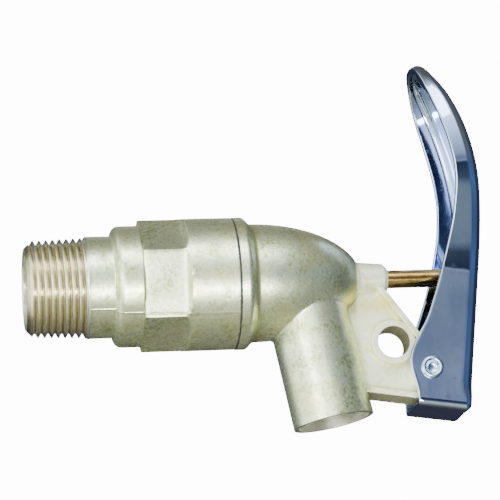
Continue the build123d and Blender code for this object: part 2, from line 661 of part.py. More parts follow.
def pivot_rivet():
    """Semi-tubular rivet: flat head on the far side, clinched and dished end on the near side."""
    face = LEVER_WIDTH / 2 + RIVET_SIDE_ROOM
    total = face + RIVET_HEAD_HEIGHT
    shank = Cylinder(RIVET_RADIUS, 2 * face)
    near = Pos(0, 0, face + RIVET_HEAD_HEIGHT / 2) * Cylinder(RIVET_HEAD_RADIUS, RIVET_HEAD_HEIGHT)
    near = fillet(near.edges().sort_by(Axis.Z)[-1], RIVET_HEAD_ROUND)
    far = Pos(0, 0, -face - RIVET_HEAD_HEIGHT / 2) * Cylinder(RIVET_HEAD_RADIUS, RIVET_HEAD_HEIGHT)
    far = fillet(far.edges().sort_by(Axis.Z)[0], RIVET_HEAD_ROUND)
    dish = Pos(0, 0, total - RIVET_DISH_DEPTH / 2) * Cone(
        RIVET_DISH_FLOOR_RADIUS, RIVET_DISH_RADIUS, RIVET_DISH_DEPTH)
    return Pos(PIVOT_X, 0, PIVOT_Z) * Rot(90, 0, 0) * (shank + near + far - dish)


def main():
    """Build every piece and write each to its own file."""
    outer_place, inner_place = o_ring_places()
    pieces = {
        "inlet_body": inlet_body(),
        "outlet_body": outlet_body(),
        "body_gasket": body_gasket(),
        "spring_seat": spring_seat(),
        "closing_spring": closing_spring(),
        "stem": stem(),
        "stem_o_ring_outer": stem_o_ring(outer_place),
        "stem_o_ring_inner": stem_o_ring(inner_place),
        "seal_washer": seal_washer(),
        "poppet_seal": poppet_seal(),
        "poppet": poppet(),
        "lock_washer": lock_washer(),
        "poppet_nut": poppet_nut(),
        "lever": lever(),
        "pivot_rivet": pivot_rivet(),
    }
    os.makedirs("parts", exist_ok=True)
    for name, piece in pieces.items():
        export_step(piece, f"parts/{name}.step")


main()
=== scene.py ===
"""Looks of a self-closing drum faucet: two satin die castings, a chromed push lever and a brass stem.

Sizes in the classes are in millimetres and become metres when a mesh is made. X runs along the inlet
from its open end towards the lever, Z points up, and the near side looks towards -Y.
"""

import logging
from collections.abc import Sequence
from dataclasses import dataclass, field
from enum import Enum

import bmesh
import bpy
import numpy as np
from mathutils import Euler, Matrix, Vector


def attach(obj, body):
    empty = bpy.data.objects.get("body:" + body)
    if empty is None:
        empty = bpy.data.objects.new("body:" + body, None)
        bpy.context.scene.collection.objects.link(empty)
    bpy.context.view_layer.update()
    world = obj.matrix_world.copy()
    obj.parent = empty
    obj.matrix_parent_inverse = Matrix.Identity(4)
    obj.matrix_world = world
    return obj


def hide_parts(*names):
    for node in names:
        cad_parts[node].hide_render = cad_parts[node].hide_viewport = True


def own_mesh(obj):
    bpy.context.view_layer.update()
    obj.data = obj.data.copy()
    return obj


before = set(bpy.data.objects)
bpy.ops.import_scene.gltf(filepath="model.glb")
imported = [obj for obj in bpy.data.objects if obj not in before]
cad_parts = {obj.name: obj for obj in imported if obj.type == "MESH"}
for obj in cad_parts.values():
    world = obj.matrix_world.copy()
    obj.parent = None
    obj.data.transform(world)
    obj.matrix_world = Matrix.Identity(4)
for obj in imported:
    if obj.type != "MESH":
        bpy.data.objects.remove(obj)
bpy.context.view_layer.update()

LOG = logging.getLogger("drum_faucet")
MM = 0.001
WELD = 2e-6
GROOVE_DEPTH = "groove_depth"
FORWARD, UP, DOWN = (1.0, 0.0, 0.0), (0.0, 0.0, 1.0), (0.0, 0.0, -1.0)

Triple = tuple[float, float, float]
Colour = tuple[float, float, float]
Span = tuple[float, ...]
Socket = bpy.types.NodeSocket


class Body(Enum):
    """CAD bodies that new pieces ride on."""

    CASTINGS = "castings"
    LEVER = "push_lever"


class Slot(Enum):
    """Material slots, each filled by one finish."""

    ZINC = "zinc_casting"
    CHROME = "chrome_plate"
    BRASS = "brass"
    STEEL = "steel"
    RUBBER = "black_rubber"


# Surfaces


def quads_of_grid(rows: int, columns: int, wrap_rows: bool, wrap_columns: bool) -> np.ndarray:
    """Index the four corners of every cell of a grid of points.

    Args:
        rows: Number of rows of points.
        columns: Number of points in a row.
        wrap_rows: Whether the last row joins the first.
        wrap_columns: Whether the last column joins the first.

    Returns:
        One row of four point numbers for each cell.
    """
    i = np.arange(rows if wrap_rows else rows - 1)
    j = np.arange(columns if wrap_columns else columns - 1)
    a, b = np.meshgrid(i, j, indexing="ij")
    a2, b2 = (a + 1) % rows, (b + 1) % columns
    cells = [a * columns + b, a * columns + b2, a2 * columns + b2, a2 * columns + b]
    return np.stack([c.ravel() for c in cells], axis=1)


def enclosed_volume(points: np.ndarray, quads: np.ndarray) -> float:
    """Volume inside a closed mesh: a sixth of the sum of each triangle's triple product.

    Args:
        points: Vertex places.
        quads: Four vertex numbers for each face.

    Returns:
        The volume, positive when the faces point outwards.
    """
    p = points - points.mean(axis=0)
    total = 0.0
    for corners in ((0, 1, 2), (0, 2, 3)):
        a, b, c = (p[quads[:, k]] for k in corners)
        total += float(np.einsum("ij,ij->i", a, np.cross(b, c)).sum()) / 6
    return total


def piece_from_grid(name: str, grid: np.ndarray, wrap_rows: bool, wrap_columns: bool,
                    sharp_deg: float) -> bpy.types.Object:
    """Turn a grid of points in millimetres into a closed, smooth-shaded piece at the origin.

    Args:
        name: Name of the piece.
        grid: Points as rows by columns by three.
        wrap_rows: Whether the last row joins the first.
        wrap_columns: Whether the last column joins the first.
        sharp_deg: Edges that turn by more than this stay crisp.

    Returns:
        The new object.
    """
    rows, columns = grid.shape[:2]
    points = grid.reshape(-1, 3) * MM
    quads = quads_of_grid(rows, columns, wrap_rows, wrap_columns)
    if enclosed_volume(points, quads) < 0:
        quads = quads[:, ::-1]
    mesh = bpy.data.meshes.new(name)
    mesh.from_pydata(points.tolist(), [], quads.tolist())
    tidy = bmesh.new()
    tidy.from_mesh(mesh)
    bmesh.ops.remove_doubles(tidy, verts=tidy.verts, dist=WELD)
    tidy.to_mesh(mesh)
    tidy.free()
    mesh.shade_smooth()
    mesh.set_sharp_from_angle(angle=np.radians(sharp_deg))
    piece = bpy.data.objects.new(name, mesh)
    bpy.context.scene.collection.objects.link(piece)
    return piece


def spun_grid(x: np.ndarray, radius: np.ndarray, angles: np.ndarray) -> np.ndarray:
    """Carry a profile round the X axis: (x, r cos a, r sin a) at every angle a.

    Args:
        x: Place along the axis of each profile point, or one for each point and angle.
        radius: Radius of each profile point, or one for each point and angle.
        angles: Angles round the axis, from +Y towards +Z.

    Returns:
        The grid of points, profile by angle.
    """
    along, r = (part if part.ndim == 2 else np.repeat(part[:, None], angles.size, axis=1)
                for part in (x, radius))
    return np.stack([along, r * np.cos(angles)[None, :], r * np.sin(angles)[None, :]], axis=2)


def arc(centre: tuple[float, float], radius: float, start_deg: float, end_deg: float,
        count: int) -> np.ndarray:
    """Points of a circle's arc in a profile plane.

    Args:
        centre: Middle of the circle.
        radius: Radius of the circle.
        start_deg: Angle of the first point.
        end_deg: Angle of the last point.
        count: Number of points.

    Returns:
        The points, one in each row.
    """
    turn = np.radians(np.linspace(start_deg, end_deg, count))
    return np.stack([centre[0] + radius * np.cos(turn), centre[1] + radius * np.sin(turn)], axis=1)


def level_run(start: float, end: float, height: float, count: int) -> np.ndarray:
    """Points of a straight line at one height or radius.

    Args:
        start: Place of the first point.
        end: Place of the last point.
        height: Height or radius of the line.
        count: Number of points.

    Returns:
        The points, one in each row.
    """
    return np.stack([np.linspace(start, end, count), np.full(count, height)], axis=1)


def places_of(items: bpy.types.bpy_prop_collection, key: str) -> np.ndarray:
    """Read the place of every vertex or face.

    Args:
        items: The mesh's vertices or faces.
        key: Name of the place.

    Returns:
        The places in millimetres, one in each row.
    """
    flat = np.empty(len(items) * 3, np.float32)
    items.foreach_get(key, flat)
    return flat.reshape(-1, 3) / MM


def smooth_step(t: np.ndarray) -> np.ndarray:
    """Rise from 0 to 1 with flat ends: 3 t squared less 2 t cubed, held to its ends."""
    held = np.clip(t, 0.0, 1.0)
    return held * held * (3 - 2 * held)


def waves(u: np.ndarray, v: np.ndarray, lengths: Span) -> np.ndarray:
    """Gentle unevenness between -1 and 1: the mean of crossed sine waves of several lengths.

    Args:
        u: First surface coordinate in millimetres.
        v: Second surface coordinate in millimetres.
        lengths: Wave lengths in millimetres.

    Returns:
        The unevenness at every point.
    """
    first_lean, lean_step, shift_step = 0.7, 1.3, 2.1
    total = np.zeros(np.broadcast(u, v).shape)
    for number, length in enumerate(lengths):
        k = 2 * np.pi / length
        lean = first_lean + lean_step * number
        total = total + np.sin(k * (u * np.cos(lean) + v * np.sin(lean)) + shift_step * number)
    return total / len(lengths)


# Finishes


@dataclass(frozen=True)
class Cloud:
    """Noise pattern, with the width of its blotches in millimetres."""

    grain: float
    detail: float = 4.0
    rough: float = 0.55
    stretch: Triple = (1, 1, 1)
    turn_deg: Triple = (0, 0, 0)
    swirl: float = 0.0


@dataclass(frozen=True)
class Edge:
    """Plane that a zone starts at or a band follows, with its place and width in millimetres."""

    way: Triple
    start: float
    width: float


@dataclass(frozen=True)
class Ring:
    """Round band about an axis that runs across the faucet, in millimetres."""

    x: float
    z: float
    radius: float
    width: float


@dataclass(frozen=True)
class Bar:
    """Round bar about a line in the faucet's middle plane, in millimetres."""

    way: Triple
    start: float
    radius: float
    width: float


class Tree:
    """Short way to write a node tree."""

    def __init__(self, tree: bpy.types.NodeTree) -> None:
        """Empty the tree and keep it."""
        self.tree = tree
        self.tree.nodes.clear()

    def node(self, kind: str, **settings: object) -> bpy.types.Node:
        """Add a node and set its properties.

        Args:
            kind: Blender's name of the node type.
            settings: Properties of the node.

        Returns:
            The node.
        """
        made = self.tree.nodes.new(kind)
        for key, value in settings.items():
            setattr(made, key, value)
        return made

    def link(self, source: Socket, target: Socket) -> None:
        """Join two sockets."""
        self.tree.links.new(source, target)

    def feed(self, source: Socket | Colour | float, target: Socket) -> None:
        """Link a socket to an input, or set the input's own colour or number.

        Args:
            source: A socket, a colour or a number.
            target: The input.
        """
        if isinstance(source, bpy.types.NodeSocket):
            self.link(source, target)
        elif isinstance(source, tuple):
            target.default_value = (*source, 1.0)
        else:
            target.default_value = source

    def ramp(self, value: Socket, places: Sequence[float], tones: Sequence[Colour]) -> Socket:
        """Colours that follow a value.

        Args:
            value: The value from 0 to 1.
            places: Place of each stop.
            tones: Colour of each stop.

        Returns:
            The colour.
        """
        made = self.node("ShaderNodeValToRGB")
        elements = made.color_ramp.elements
        while len(elements) < len(places):
            elements.new(0.5)
        for element, place, tone in zip(elements, places, tones):
            element.position = place
            element.color = (*tone, 1.0)
        self.link(value, made.inputs["Fac"])
        return made.outputs["Color"]

    def spread(self, value: Socket, low: float, high: float, to_low: float = 0.0,
               to_high: float = 1.0) -> Socket:
        """Move a value from one span to another and hold it there.

        Args:
            value: The value.
            low: Value that becomes to_low.
            high: Value that becomes to_high.
            to_low: Result at the low end.
            to_high: Result at the high end.

        Returns:
            The moved value.
        """
        made = self.node("ShaderNodeMapRange")
        for key, number in (("From Min", low), ("From Max", high), ("To Min", to_low), ("To Max", to_high)):
            made.inputs[key].default_value = number
        self.link(value, made.inputs["Value"])
        return made.outputs["Result"]

    def blended(self, share: Socket | float, first: Socket | Colour, second: Socket | Colour) -> Socket:
        """Blend two colours.

        Args:
            share: Share of the second colour.
            first: First colour.
            second: Second colour.

        Returns:
            The blended colour.
        """
        made = self.node("ShaderNodeMix", data_type="RGBA")
        for number, source in ((0, share), (6, first), (7, second)):
            self.feed(source, made.inputs[number])
        return made.outputs[2]

    def math(self, operation: str, *sources: Socket | float) -> Socket:
        """Work out a value from up to three others.

        Args:
            operation: Blender's name of the operation.
            sources: The values, in the operation's order.

        Returns:
            The result.
        """
        made = self.node("ShaderNodeMath", operation=operation)
        for source, target in zip(sources, made.inputs):
            self.feed(source, target)
        return made.outputs[0]

    def product(self, first: Socket, *others: Socket | float) -> Socket:
        """Multiply values.

        Args:
            first: First value.
            others: The other values.

        Returns:
            The product.
        """
        for other in others:
            first = self.math("MULTIPLY", first, other)
        return first

    def sum_of(self, first: Socket, second: Socket, weight: float = 1.0) -> Socket:
        """Add a value and a weighted second value."""
        return self.math("MULTIPLY_ADD", second, weight, first)


class Nodes(Tree):
    """Node tree of a material with one Principled shader."""

    def __init__(self, name: str) -> None:
        """Start the material.

        Args:
            name: Name of the material.
        """
        self.material = bpy.data.materials.new(name)
        self.material.use_nodes = True
        super().__init__(self.material.node_tree)
        output = self.node("ShaderNodeOutputMaterial")
        self.shader = self.node("ShaderNodeBsdfPrincipled")
        self.link(self.shader.outputs["BSDF"], output.inputs["Surface"])
        self.place = self.node("ShaderNodeTexCoord").outputs["Object"]

    def surface(self, colour: Socket | Colour, rough: Socket | float, metal: Socket | float = 0.0) -> None:
        """Set what the shader shows.

        Args:
            colour: Colour of the surface.
            rough: Its roughness.
            metal: Its share of metal.
        """
        for key, source in (("Base Color", colour), ("Roughness", rough), ("Metallic", metal)):
            self.feed(source, self.shader.inputs[key])

    def moved(self, scale: Triple, turn_deg: Triple = (0, 0, 0), shift: Triple = (0, 0, 0)) -> Socket:
        """Object coordinates after a stretch, a turn and a shift.

        Args:
            scale: Factor along each axis.
            turn_deg: Turn about each axis in degrees.
            shift: Shift along each axis in metres.

        Returns:
            The moved coordinates.
        """
        mapping = self.node("ShaderNodeMapping")
        mapping.inputs["Scale"].default_value = scale
        mapping.inputs["Rotation"].default_value = tuple(np.radians(turn_deg))
        mapping.inputs["Location"].default_value = shift
        self.link(self.place, mapping.inputs["Vector"])
        return mapping.outputs["Vector"]

    def noise(self, cloud: Cloud) -> Socket:
        """Cloudy noise whose blotches are about as wide as the cloud's grain.

        Args:
            cloud: The pattern.

        Returns:
            The noise's value.
        """
        plain = cloud.stretch == (1, 1, 1) and cloud.turn_deg == (0, 0, 0)
        place = self.place if plain else self.moved(cloud.stretch, cloud.turn_deg)
        made = self.node("ShaderNodeTexNoise")
        for key, number in (("Scale", 1 / (cloud.grain * MM)), ("Detail", cloud.detail),
                            ("Roughness", cloud.rough), ("Distortion", cloud.swirl)):
            made.inputs[key].default_value = number
        self.link(place, made.inputs["Vector"])
        return made.outputs["Fac"]

    def along(self, way: Triple) -> Socket:
        """How far each point lies along a direction, in metres.

        Args:
            way: The direction.

        Returns:
            The distance from the origin.
        """
        dot = self.node("ShaderNodeVectorMath", operation="DOT_PRODUCT")
        dot.inputs[1].default_value = way
        self.link(self.place, dot.inputs[0])
        return dot.outputs["Value"]

    def length(self, vector: Socket) -> Socket:
        """Length of a vector.

        Args:
            vector: The vector.

        Returns:
            Its length.
        """
        made = self.node("ShaderNodeVectorMath", operation="LENGTH")
        self.link(vector, made.inputs[0])
        return made.outputs["Value"]

    def rise(self, edge: Edge) -> Socket:
        """Rise from 0 to 1 across a plane, over its width."""
        return self.spread(self.along(edge.way), edge.start * MM, (edge.start + edge.width) * MM)

    def near(self, distance: Socket, goal: float, width: float) -> Socket:
        """Fall from 1 where a distance meets its goal to 0 at a width on either side.

        Args:
            distance: The distance in metres.
            goal: The distance that gives 1, in millimetres.
            width: Half width of the band in millimetres.

        Returns:
            The value.
        """
        gap = self.math("ABSOLUTE", self.math("SUBTRACT", distance, goal * MM))
        return self.spread(gap, 0.0, width * MM, 1.0, 0.0)

    def band(self, edge: Edge) -> Socket:
        """Band along a plane, 1 on the plane and 0 at its width on either side."""
        return self.near(self.along(edge.way), edge.start, edge.width)

    def ring(self, ring: Ring) -> Socket:
        """Band round an axis across the faucet, 1 at its radius and 0 at its width on either side."""
        level = self.moved((1, 0, 1), shift=(-ring.x * MM, 0, -ring.z * MM))
        return self.near(self.length(level), ring.radius, ring.width)

    def bar(self, bar: Bar) -> Socket:
        """Fill a round bar: 1 inside, falling to 0 at its radius.

        A point's distance from the bar's line is the length of the vector made of its distance across the
        line in the middle plane and its Y.

        Args:
            bar: The bar.

        Returns:
            The value.
        """
        parts = self.node("ShaderNodeSeparateXYZ")
        self.link(self.place, parts.inputs[0])
        across = self.node("ShaderNodeCombineXYZ")
        self.link(self.math("SUBTRACT", self.along(bar.way), bar.start * MM), across.inputs["X"])
        self.link(parts.outputs["Y"], across.inputs["Y"])
        inner, outer = (bar.radius - bar.width) * MM, bar.radius * MM
        return self.spread(self.length(across.outputs["Vector"]), inner, outer, 1.0, 0.0)

    def bump(self, height: Socket, strength: float, depth: float) -> None:
        """Add a height to the shader's normal.

        Args:
            height: The height from 0 to 1.
            strength: Strength of the bump.
            depth: Depth of the height's full span in millimetres.
        """
        made = self.node("ShaderNodeBump")
        made.inputs["Strength"].default_value = strength
        made.inputs["Distance"].default_value = depth * MM
        self.link(height, made.inputs["Height"])
        before = self.shader.inputs["Normal"]
        if before.is_linked:
            self.link(before.links[0].from_socket, made.inputs["Normal"])
        self.link(made.outputs["Normal"], before)


@dataclass(frozen=True)
class SatinZinc:
    """Plated zinc die casting: pale champagne with grey-green clouds, fine grain and speckled patches."""

    name: str
    pale: Colour = (0.86, 0.94, 0.66)
    middle: Colour = (0.64, 0.73, 0.44)
    dull: Colour = (0.30, 0.32, 0.14)
    tone_places: Span = (0.40, 0.56, 0.70)
    warm: Colour = (0.84, 0.80, 0.42)
    speck: Colour = (0.16, 0.14, 0.08)
    blotch: Cloud = Cloud(6.0, 3.0, 0.5, swirl=0.3)
    blotch_share: Span = (0.3, 0.7, 0.0, 0.26)
    mottle: Cloud = Cloud(1.0, 5.0, 0.65)
    mottle_weight: float = 0.75
    grain: Cloud = Cloud(0.30, 2.0, 0.5)
    grain_weight: float = 0.24
    warm_patch: Cloud = Cloud(9.0, 2.0, 0.5, turn_deg=(30, 60, 10))
    warm_share: Span = (0.48, 0.72, 0.0, 0.5)
    speck_patch: Cloud = Cloud(11.0, 1.0, 0.4, (1, 1, 0.7), (0, 25, 70))
    speck_patch_share: Span = (0.45, 0.62)
    fleck: Cloud = Cloud(0.42, 3.0, 0.7, turn_deg=(50, 0, 20))
    fleck_share: Span = (0.52, 0.68, 0.0, 0.6)
    metal: float = 0.92
    gloss_mottle: float = 0.6
    gloss: Span = (0.5, 1.1, 0.40, 0.24)
    dent: Cloud = Cloud(3.2, 1.0, 0.4)
    bumps: tuple[Span, ...] = ((0.45, 0.05), (0.42, 0.11), (0.25, 0.14))

    def aged(self, n: Nodes, colour: Socket, rough: Socket) -> tuple[Socket, Socket, Socket | float]:
        """Leave the skin as cast, with its colour, roughness and share of metal."""
        return colour, rough, self.metal

    def build(self) -> bpy.types.Material:
        """Make the material.

        Returns:
            The material.
        """
        n = Nodes(self.name)
        blotch, mottle, grain = (n.noise(cloud) for cloud in (self.blotch, self.mottle, self.grain))
        mixed = n.sum_of(n.spread(blotch, *self.blotch_share), mottle, self.mottle_weight)
        mixed = n.sum_of(mixed, grain, self.grain_weight)
        colour = n.ramp(mixed, self.tone_places, (self.dull, self.middle, self.pale))
        colour = n.blended(n.spread(n.noise(self.warm_patch), *self.warm_share), colour, self.warm)
        patch = n.spread(n.noise(self.speck_patch), *self.speck_patch_share)
        fleck = n.spread(n.noise(self.fleck), *self.fleck_share)
        colour = n.blended(n.product(patch, fleck), colour, self.speck)
        rough = n.spread(n.sum_of(blotch, mottle, self.gloss_mottle), *self.gloss)
        n.surface(*self.aged(n, colour, rough))
        for height, (strength, depth) in zip((grain, mottle, n.noise(self.dent)), self.bumps):
            n.bump(height, strength, depth)
        return n.material


@dataclass(frozen=True)
class InletZinc(SatinZinc):
    """Satin casting that is duller, rougher and pocked below a parting plane through the X axis."""

    name: str = "inlet_zinc_finish"
    parting_deg: float = 219.0
    parting_width: float = 0.4
    pock: Cloud = Cloud(0.75, 3.0, 0.6, turn_deg=(0, 40, 10))
    pock_places: Span = (0.38, 0.62)
    pock_share: float = 0.34
    pock_rough: float = 0.07
    pock_bump: Span = (0.45, 0.16)

    def aged(self, n: Nodes, colour: Socket, rough: Socket) -> tuple[Socket, Socket, Socket | float]:
        """Dull and pock the half below the parting plane.

        Args:
            n: The material's nodes.
            colour: Colour of the skin as cast.
            rough: Its roughness.

        Returns:
            Colour, roughness and share of metal.
        """
        lean = np.radians(self.parting_deg)
        way = (0.0, -float(np.sin(lean)), float(np.cos(lean)))
        below = n.rise(Edge(way, 0.0, self.parting_width))
        pocks = n.noise(self.pock)
        shaded = n.ramp(pocks, self.pock_places, (self.dull, self.middle))
        n.bump(n.product(below, pocks), *self.pock_bump)
        return (n.blended(n.product(below, self.pock_share), colour, shaded),
                n.sum_of(rough, below, self.pock_rough), self.metal)


@dataclass(frozen=True)
class OutletZinc(SatinZinc):
    """Satin casting whose tone turns to a milky cream on the lug, with painted shade where pieces meet, in
    the hollow and at the dome's end.
    """

    name: str = "outlet_zinc_finish"
    cream: Colour = (0.93, 0.96, 0.76)
    # Painted shade in creases: at the lug's root, in the armpit band and beside the padlock ring and ribs.
    crease_shade: Colour = (0.70, 0.62, 0.20)
    # Painted shade: a dark tone laid over the dome's end above the spout.
    end_shade: Colour = (0.27, 0.25, 0.13)
    bore: Colour = (0.84, 0.84, 0.72)
    # Painted shadow in the padlock hole and under the lug's foot.
    shadow: Colour = (0.26, 0.24, 0.12)
    # Painted shade laid in the hollow band, as a dark olive.
    hollow_shade: Colour = (0.50, 0.51, 0.22)
    cream_edge: Edge = Edge((1.0, 0.0, 0.1638), 85.2, 3.5)
    cream_places: Span = (0.0, 0.5)
    cream_share: Span = (0.0, 0.12, 0.0, 0.85)
    cream_clear: float = 0.40
    cream_rough: float = 0.10
    cream_metal: Span = (0.0, 0.85, 0.92, 0.50)
    dome_end: Edge = Edge(FORWARD, 88.7, 1.0)
    dome_foot: Edge = Edge(DOWN, 9.0, 3.0)
    # Where the painted shade at the dome's end lies.
    end_shade_from: Edge = Edge(FORWARD, 79.0, 9.0)
    end_shade_over: Edge = Edge(UP, -7.0, 3.0)
    end_shade_share: Span = (0.0, 0.3, 0.8, 0.0)
    # Painted crease shade in the armpit band.
    armpit: Edge = Edge(DOWN, 7.5, 3.4)
    armpit_from: Edge = Edge(FORWARD, 83.5, 3.0)
    armpit_share: float = 0.8
    spout_inside: Bar = Bar((0.9869, 0.0, 0.1616), 73.53, 10.3, 0.6)
    spout_from: Edge = Edge(DOWN, 10.0, 3.0)
    bore_share: float = 0.85
    hole_ring: Ring = Ring(98.0, -18.35, 6.6, 1.0)
    ribs: tuple[Edge, ...] = (Edge((0.819, 0.0, 0.574), 74.8, 1.3), Edge((-0.158, 0.0, -0.987), 15.1, 1.3))
    crease_patches: Cloud = Cloud(1.6, 4.0, 0.6, turn_deg=(15, 35, 0))
    crease_patch_share: Span = (0.35, 0.6)
    edge_shade_share: float = 0.85
    hole_wall: Ring = Ring(98.0, -18.35, 4.3, 0.3)
    foot: Edge = Edge((-0.158, 0.0, -0.987), 17.38, 0.4)
    shadow_share: Span = (0.2, 0.9)
    hollow: Edge = Edge(FORWARD, 60.6, 2.2)
    hollow_share: float = 0.8

    def aged(self, n: Nodes, colour: Socket, rough: Socket) -> tuple[Socket, Socket, Socket | float]:
        """Turn the lug creamy, tint the spout's bore, then paint shade at the dome's end, in the creases, the
        padlock hole, under the foot and in the hollow.

        Args:
            n: The material's nodes.
            colour: Colour of the skin as cast.
            rough: Its roughness.

        Returns:
            Colour, roughness and share of metal.
        """
        beyond = n.rise(self.cream_edge)
        # Painted crease shade at the lug's root, blending into the cream.
        milky = n.ramp(beyond, self.cream_places, (self.crease_shade, self.cream))
        clear = n.spread(n.sum_of(n.rise(self.dome_end), n.rise(self.dome_foot)), 0.0, 1.0)
        lug = n.product(n.spread(beyond, *self.cream_share), clear)
        colour = n.blended(lug, colour, n.blended(self.cream_clear, milky, colour))
        # Painted shade and shadow over the skin, with the spout bore's own tint among them.
        shade_and_bore_tints = (
            (self.dome_end_shade(n, lug), self.end_shade),
            (n.product(n.band(self.armpit), n.rise(self.armpit_from), self.armpit_share), self.crease_shade),
            (n.product(n.bar(self.spout_inside), n.rise(self.spout_from), self.bore_share), self.bore),
            (self.edge_shade(n, lug), self.crease_shade),
            (self.undersides(n, lug), self.shadow),
            (n.product(n.band(self.hollow), self.hollow_share), self.hollow_shade))
        for share, tone in shade_and_bore_tints:
            colour = n.blended(share, colour, tone)
        return colour, n.sum_of(rough, lug, self.cream_rough), n.spread(lug, *self.cream_metal)

    def dome_end_shade(self, n: Nodes, lug: Socket) -> Socket:
        """Share of painted shade at the dome's end, above the spout and off the lug."""
        off_lug = n.spread(lug, *self.end_shade_share)
        return n.product(n.rise(self.end_shade_from), n.rise(self.end_shade_over), off_lug)

    def edge_shade(self, n: Nodes, lug: Socket) -> Socket:
        """Share of patchy painted crease shade beside the padlock ring and along the ribs.

        Args:
            n: The material's nodes.
            lug: Share of the lug's cream.

        Returns:
            The share.
        """
        bands = n.ring(self.hole_ring)
        for rib in self.ribs:
            bands = n.sum_of(bands, n.band(rib))
        patchy = n.spread(n.noise(self.crease_patches), *self.crease_patch_share)
        return n.product(n.spread(bands, 0.0, 1.0), lug, patchy, self.edge_shade_share)

    def undersides(self, n: Nodes, lug: Socket) -> Socket:
        """Share of painted shadow in the padlock hole and under the lug's foot."""
        shaded = n.sum_of(n.ring(self.hole_wall), n.band(self.foot))
        return n.product(n.spread(shaded, *self.shadow_share), lug)


@dataclass(frozen=True)
class CutZinc:
    """Machined thread in the casting: a painted highlight on the crests, tan flanks as painted reflection,
    painted shade deepening into the roots, and fine turning marks.
    """

    bright: Colour = (0.98, 0.98, 0.90)
    tan: Colour = (0.85, 0.81, 0.58)
    deep: Colour = (0.48, 0.41, 0.22)
    tone_places: Span = (0.12, 0.30, 0.75, 0.95)
    depth_share: float = 0.85
    cloud: Cloud = Cloud(2.4, 3.0, 0.5)
    cloud_weight: float = 0.15
    metal: float = 0.96
    gloss: Span = (0.3, 0.7, 0.15, 0.28)
    marks: Cloud = Cloud(0.25, 2.0, 0.5, (6, 1, 1))
    marks_bump: Span = (0.25, 0.03)

    def build(self) -> bpy.types.Material:
        """Make the material.

        Returns:
            The material.
        """
        n = Nodes("cut_thread_finish")
        depth = n.node("ShaderNodeAttribute", attribute_name=GROOVE_DEPTH).outputs["Fac"]
        cloud = n.noise(self.cloud)
        share = n.sum_of(n.spread(depth, 0.0, 1.0, 0.0, self.depth_share), cloud, self.cloud_weight)
        # Painted light by groove depth: a highlight on the crests, tan flanks standing in for reflection, and
        # shade deepening into the roots.
        tones = (self.bright, self.tan, self.tan, self.deep)
        n.surface(n.ramp(share, self.tone_places, tones), n.spread(cloud, *self.gloss), self.metal)
        n.bump(n.noise(self.marks), *self.marks_bump)
        return n.material


@dataclass(frozen=True)
class MirrorChrome:
    """Chrome plate on pressed steel: blue-grey mirror whose blue cast and darker clouds are partly soft
    smudges and partly painted reflection of a dark blue surround, with prints and faint drawing marks.
    """

    tint: Colour = (0.57, 0.68, 0.93)
    shade: Colour = (0.43, 0.52, 0.78)
    tone_places: Span = (0.35, 0.65)
    cloud: Cloud = Cloud(9.0, 3.0, 0.5, (1, 1, 0.45), swirl=0.5)
    prints: Cloud = Cloud(2.4, 3.0, 0.6)
    print_share: Span = (0.62, 0.72, 0.0, 0.6)
    print_rough: float = 0.15
    streaks: Cloud = Cloud(1.2, 3.0, 0.6, (1, 1, 0.06))
    gloss: Span = (0.3, 0.75, 0.035, 0.085)
    swell: Cloud = Cloud(7.0, 2.0, 0.5)
    swell_bump: Span = (0.12, 0.12)

    def build(self) -> bpy.types.Material:
        """Make the material.

        Returns:
            The material.
        """
        n = Nodes("chrome_finish")
        # The blue cast and the darker blue clouds are partly smudges and partly painted reflection of a dark
        # blue surround.
        colour = n.ramp(n.noise(self.cloud), self.tone_places, (self.shade, self.tint))
        prints = n.spread(n.noise(self.prints), *self.print_share)
        rough = n.sum_of(n.spread(n.noise(self.streaks), *self.gloss), prints, self.print_rough)
        n.surface(colour, rough, 1.0)
        n.bump(n.noise(self.swell), *self.swell_bump)
        return n.material


@dataclass(frozen=True)
class CloudedFinish:
    """Finish whose tone and gloss follow one cloud, with a fine relief."""

    name: str
    low: Colour
    high: Colour
    tone_places: Span
    cloud: Cloud
    gloss: Span | float
    relief: Cloud
    relief_bump: Span
    metal: float = 1.0

    def build(self) -> bpy.types.Material:
        """Make the material.

        Returns:
            The material.
        """
        n = Nodes(self.name)
        cloud = n.noise(self.cloud)
        rough = n.spread(cloud, *self.gloss) if isinstance(self.gloss, tuple) else self.gloss
        n.surface(n.ramp(cloud, self.tone_places, (self.low, self.high)), rough, self.metal)
        n.bump(n.noise(self.relief), *self.relief_bump)
        return n.material


@dataclass(frozen=True)
class StreakedBrass(CloudedFinish):
    """Turned brass rod with brown and golden streaks along it, partly tarnish and partly painted reflection
    bands, and fine rings from the lathe.
    """

    name: str = "brass_finish"
    low: Colour = (0.15, 0.08, 0.02)
    high: Colour = (0.50, 0.33, 0.10)
    tone_places: Span = (0.32, 0.62)
    # The streaks along the rod are partly tarnish and partly painted reflection bands.
    cloud: Cloud = Cloud(2.2, 4.0, 0.6, (0.45, 1, 1))
    gloss: Span | float = (0.3, 0.7, 0.25, 0.13)
    relief: Cloud = Cloud(0.5, 2.0, 0.5, (8, 0.4, 0.4))
    relief_bump: Span = (0.25, 0.02)


@dataclass(frozen=True)
class PlatedSteel(CloudedFinish):
    """Bright zinc-plated steel with a blue cast."""

    name: str = "steel_finish"
    low: Colour = (0.38, 0.53, 0.70)
    high: Colour = (0.62, 0.78, 0.92)
    tone_places: Span = (0.35, 0.62)
    cloud: Cloud = Cloud(1.4, 4.0, 0.6)
    gloss: Span | float = (0.3, 0.7, 0.26, 0.14)
    relief: Cloud = Cloud(1.4, 4.0, 0.6)
    relief_bump: Span = (0.15, 0.04)


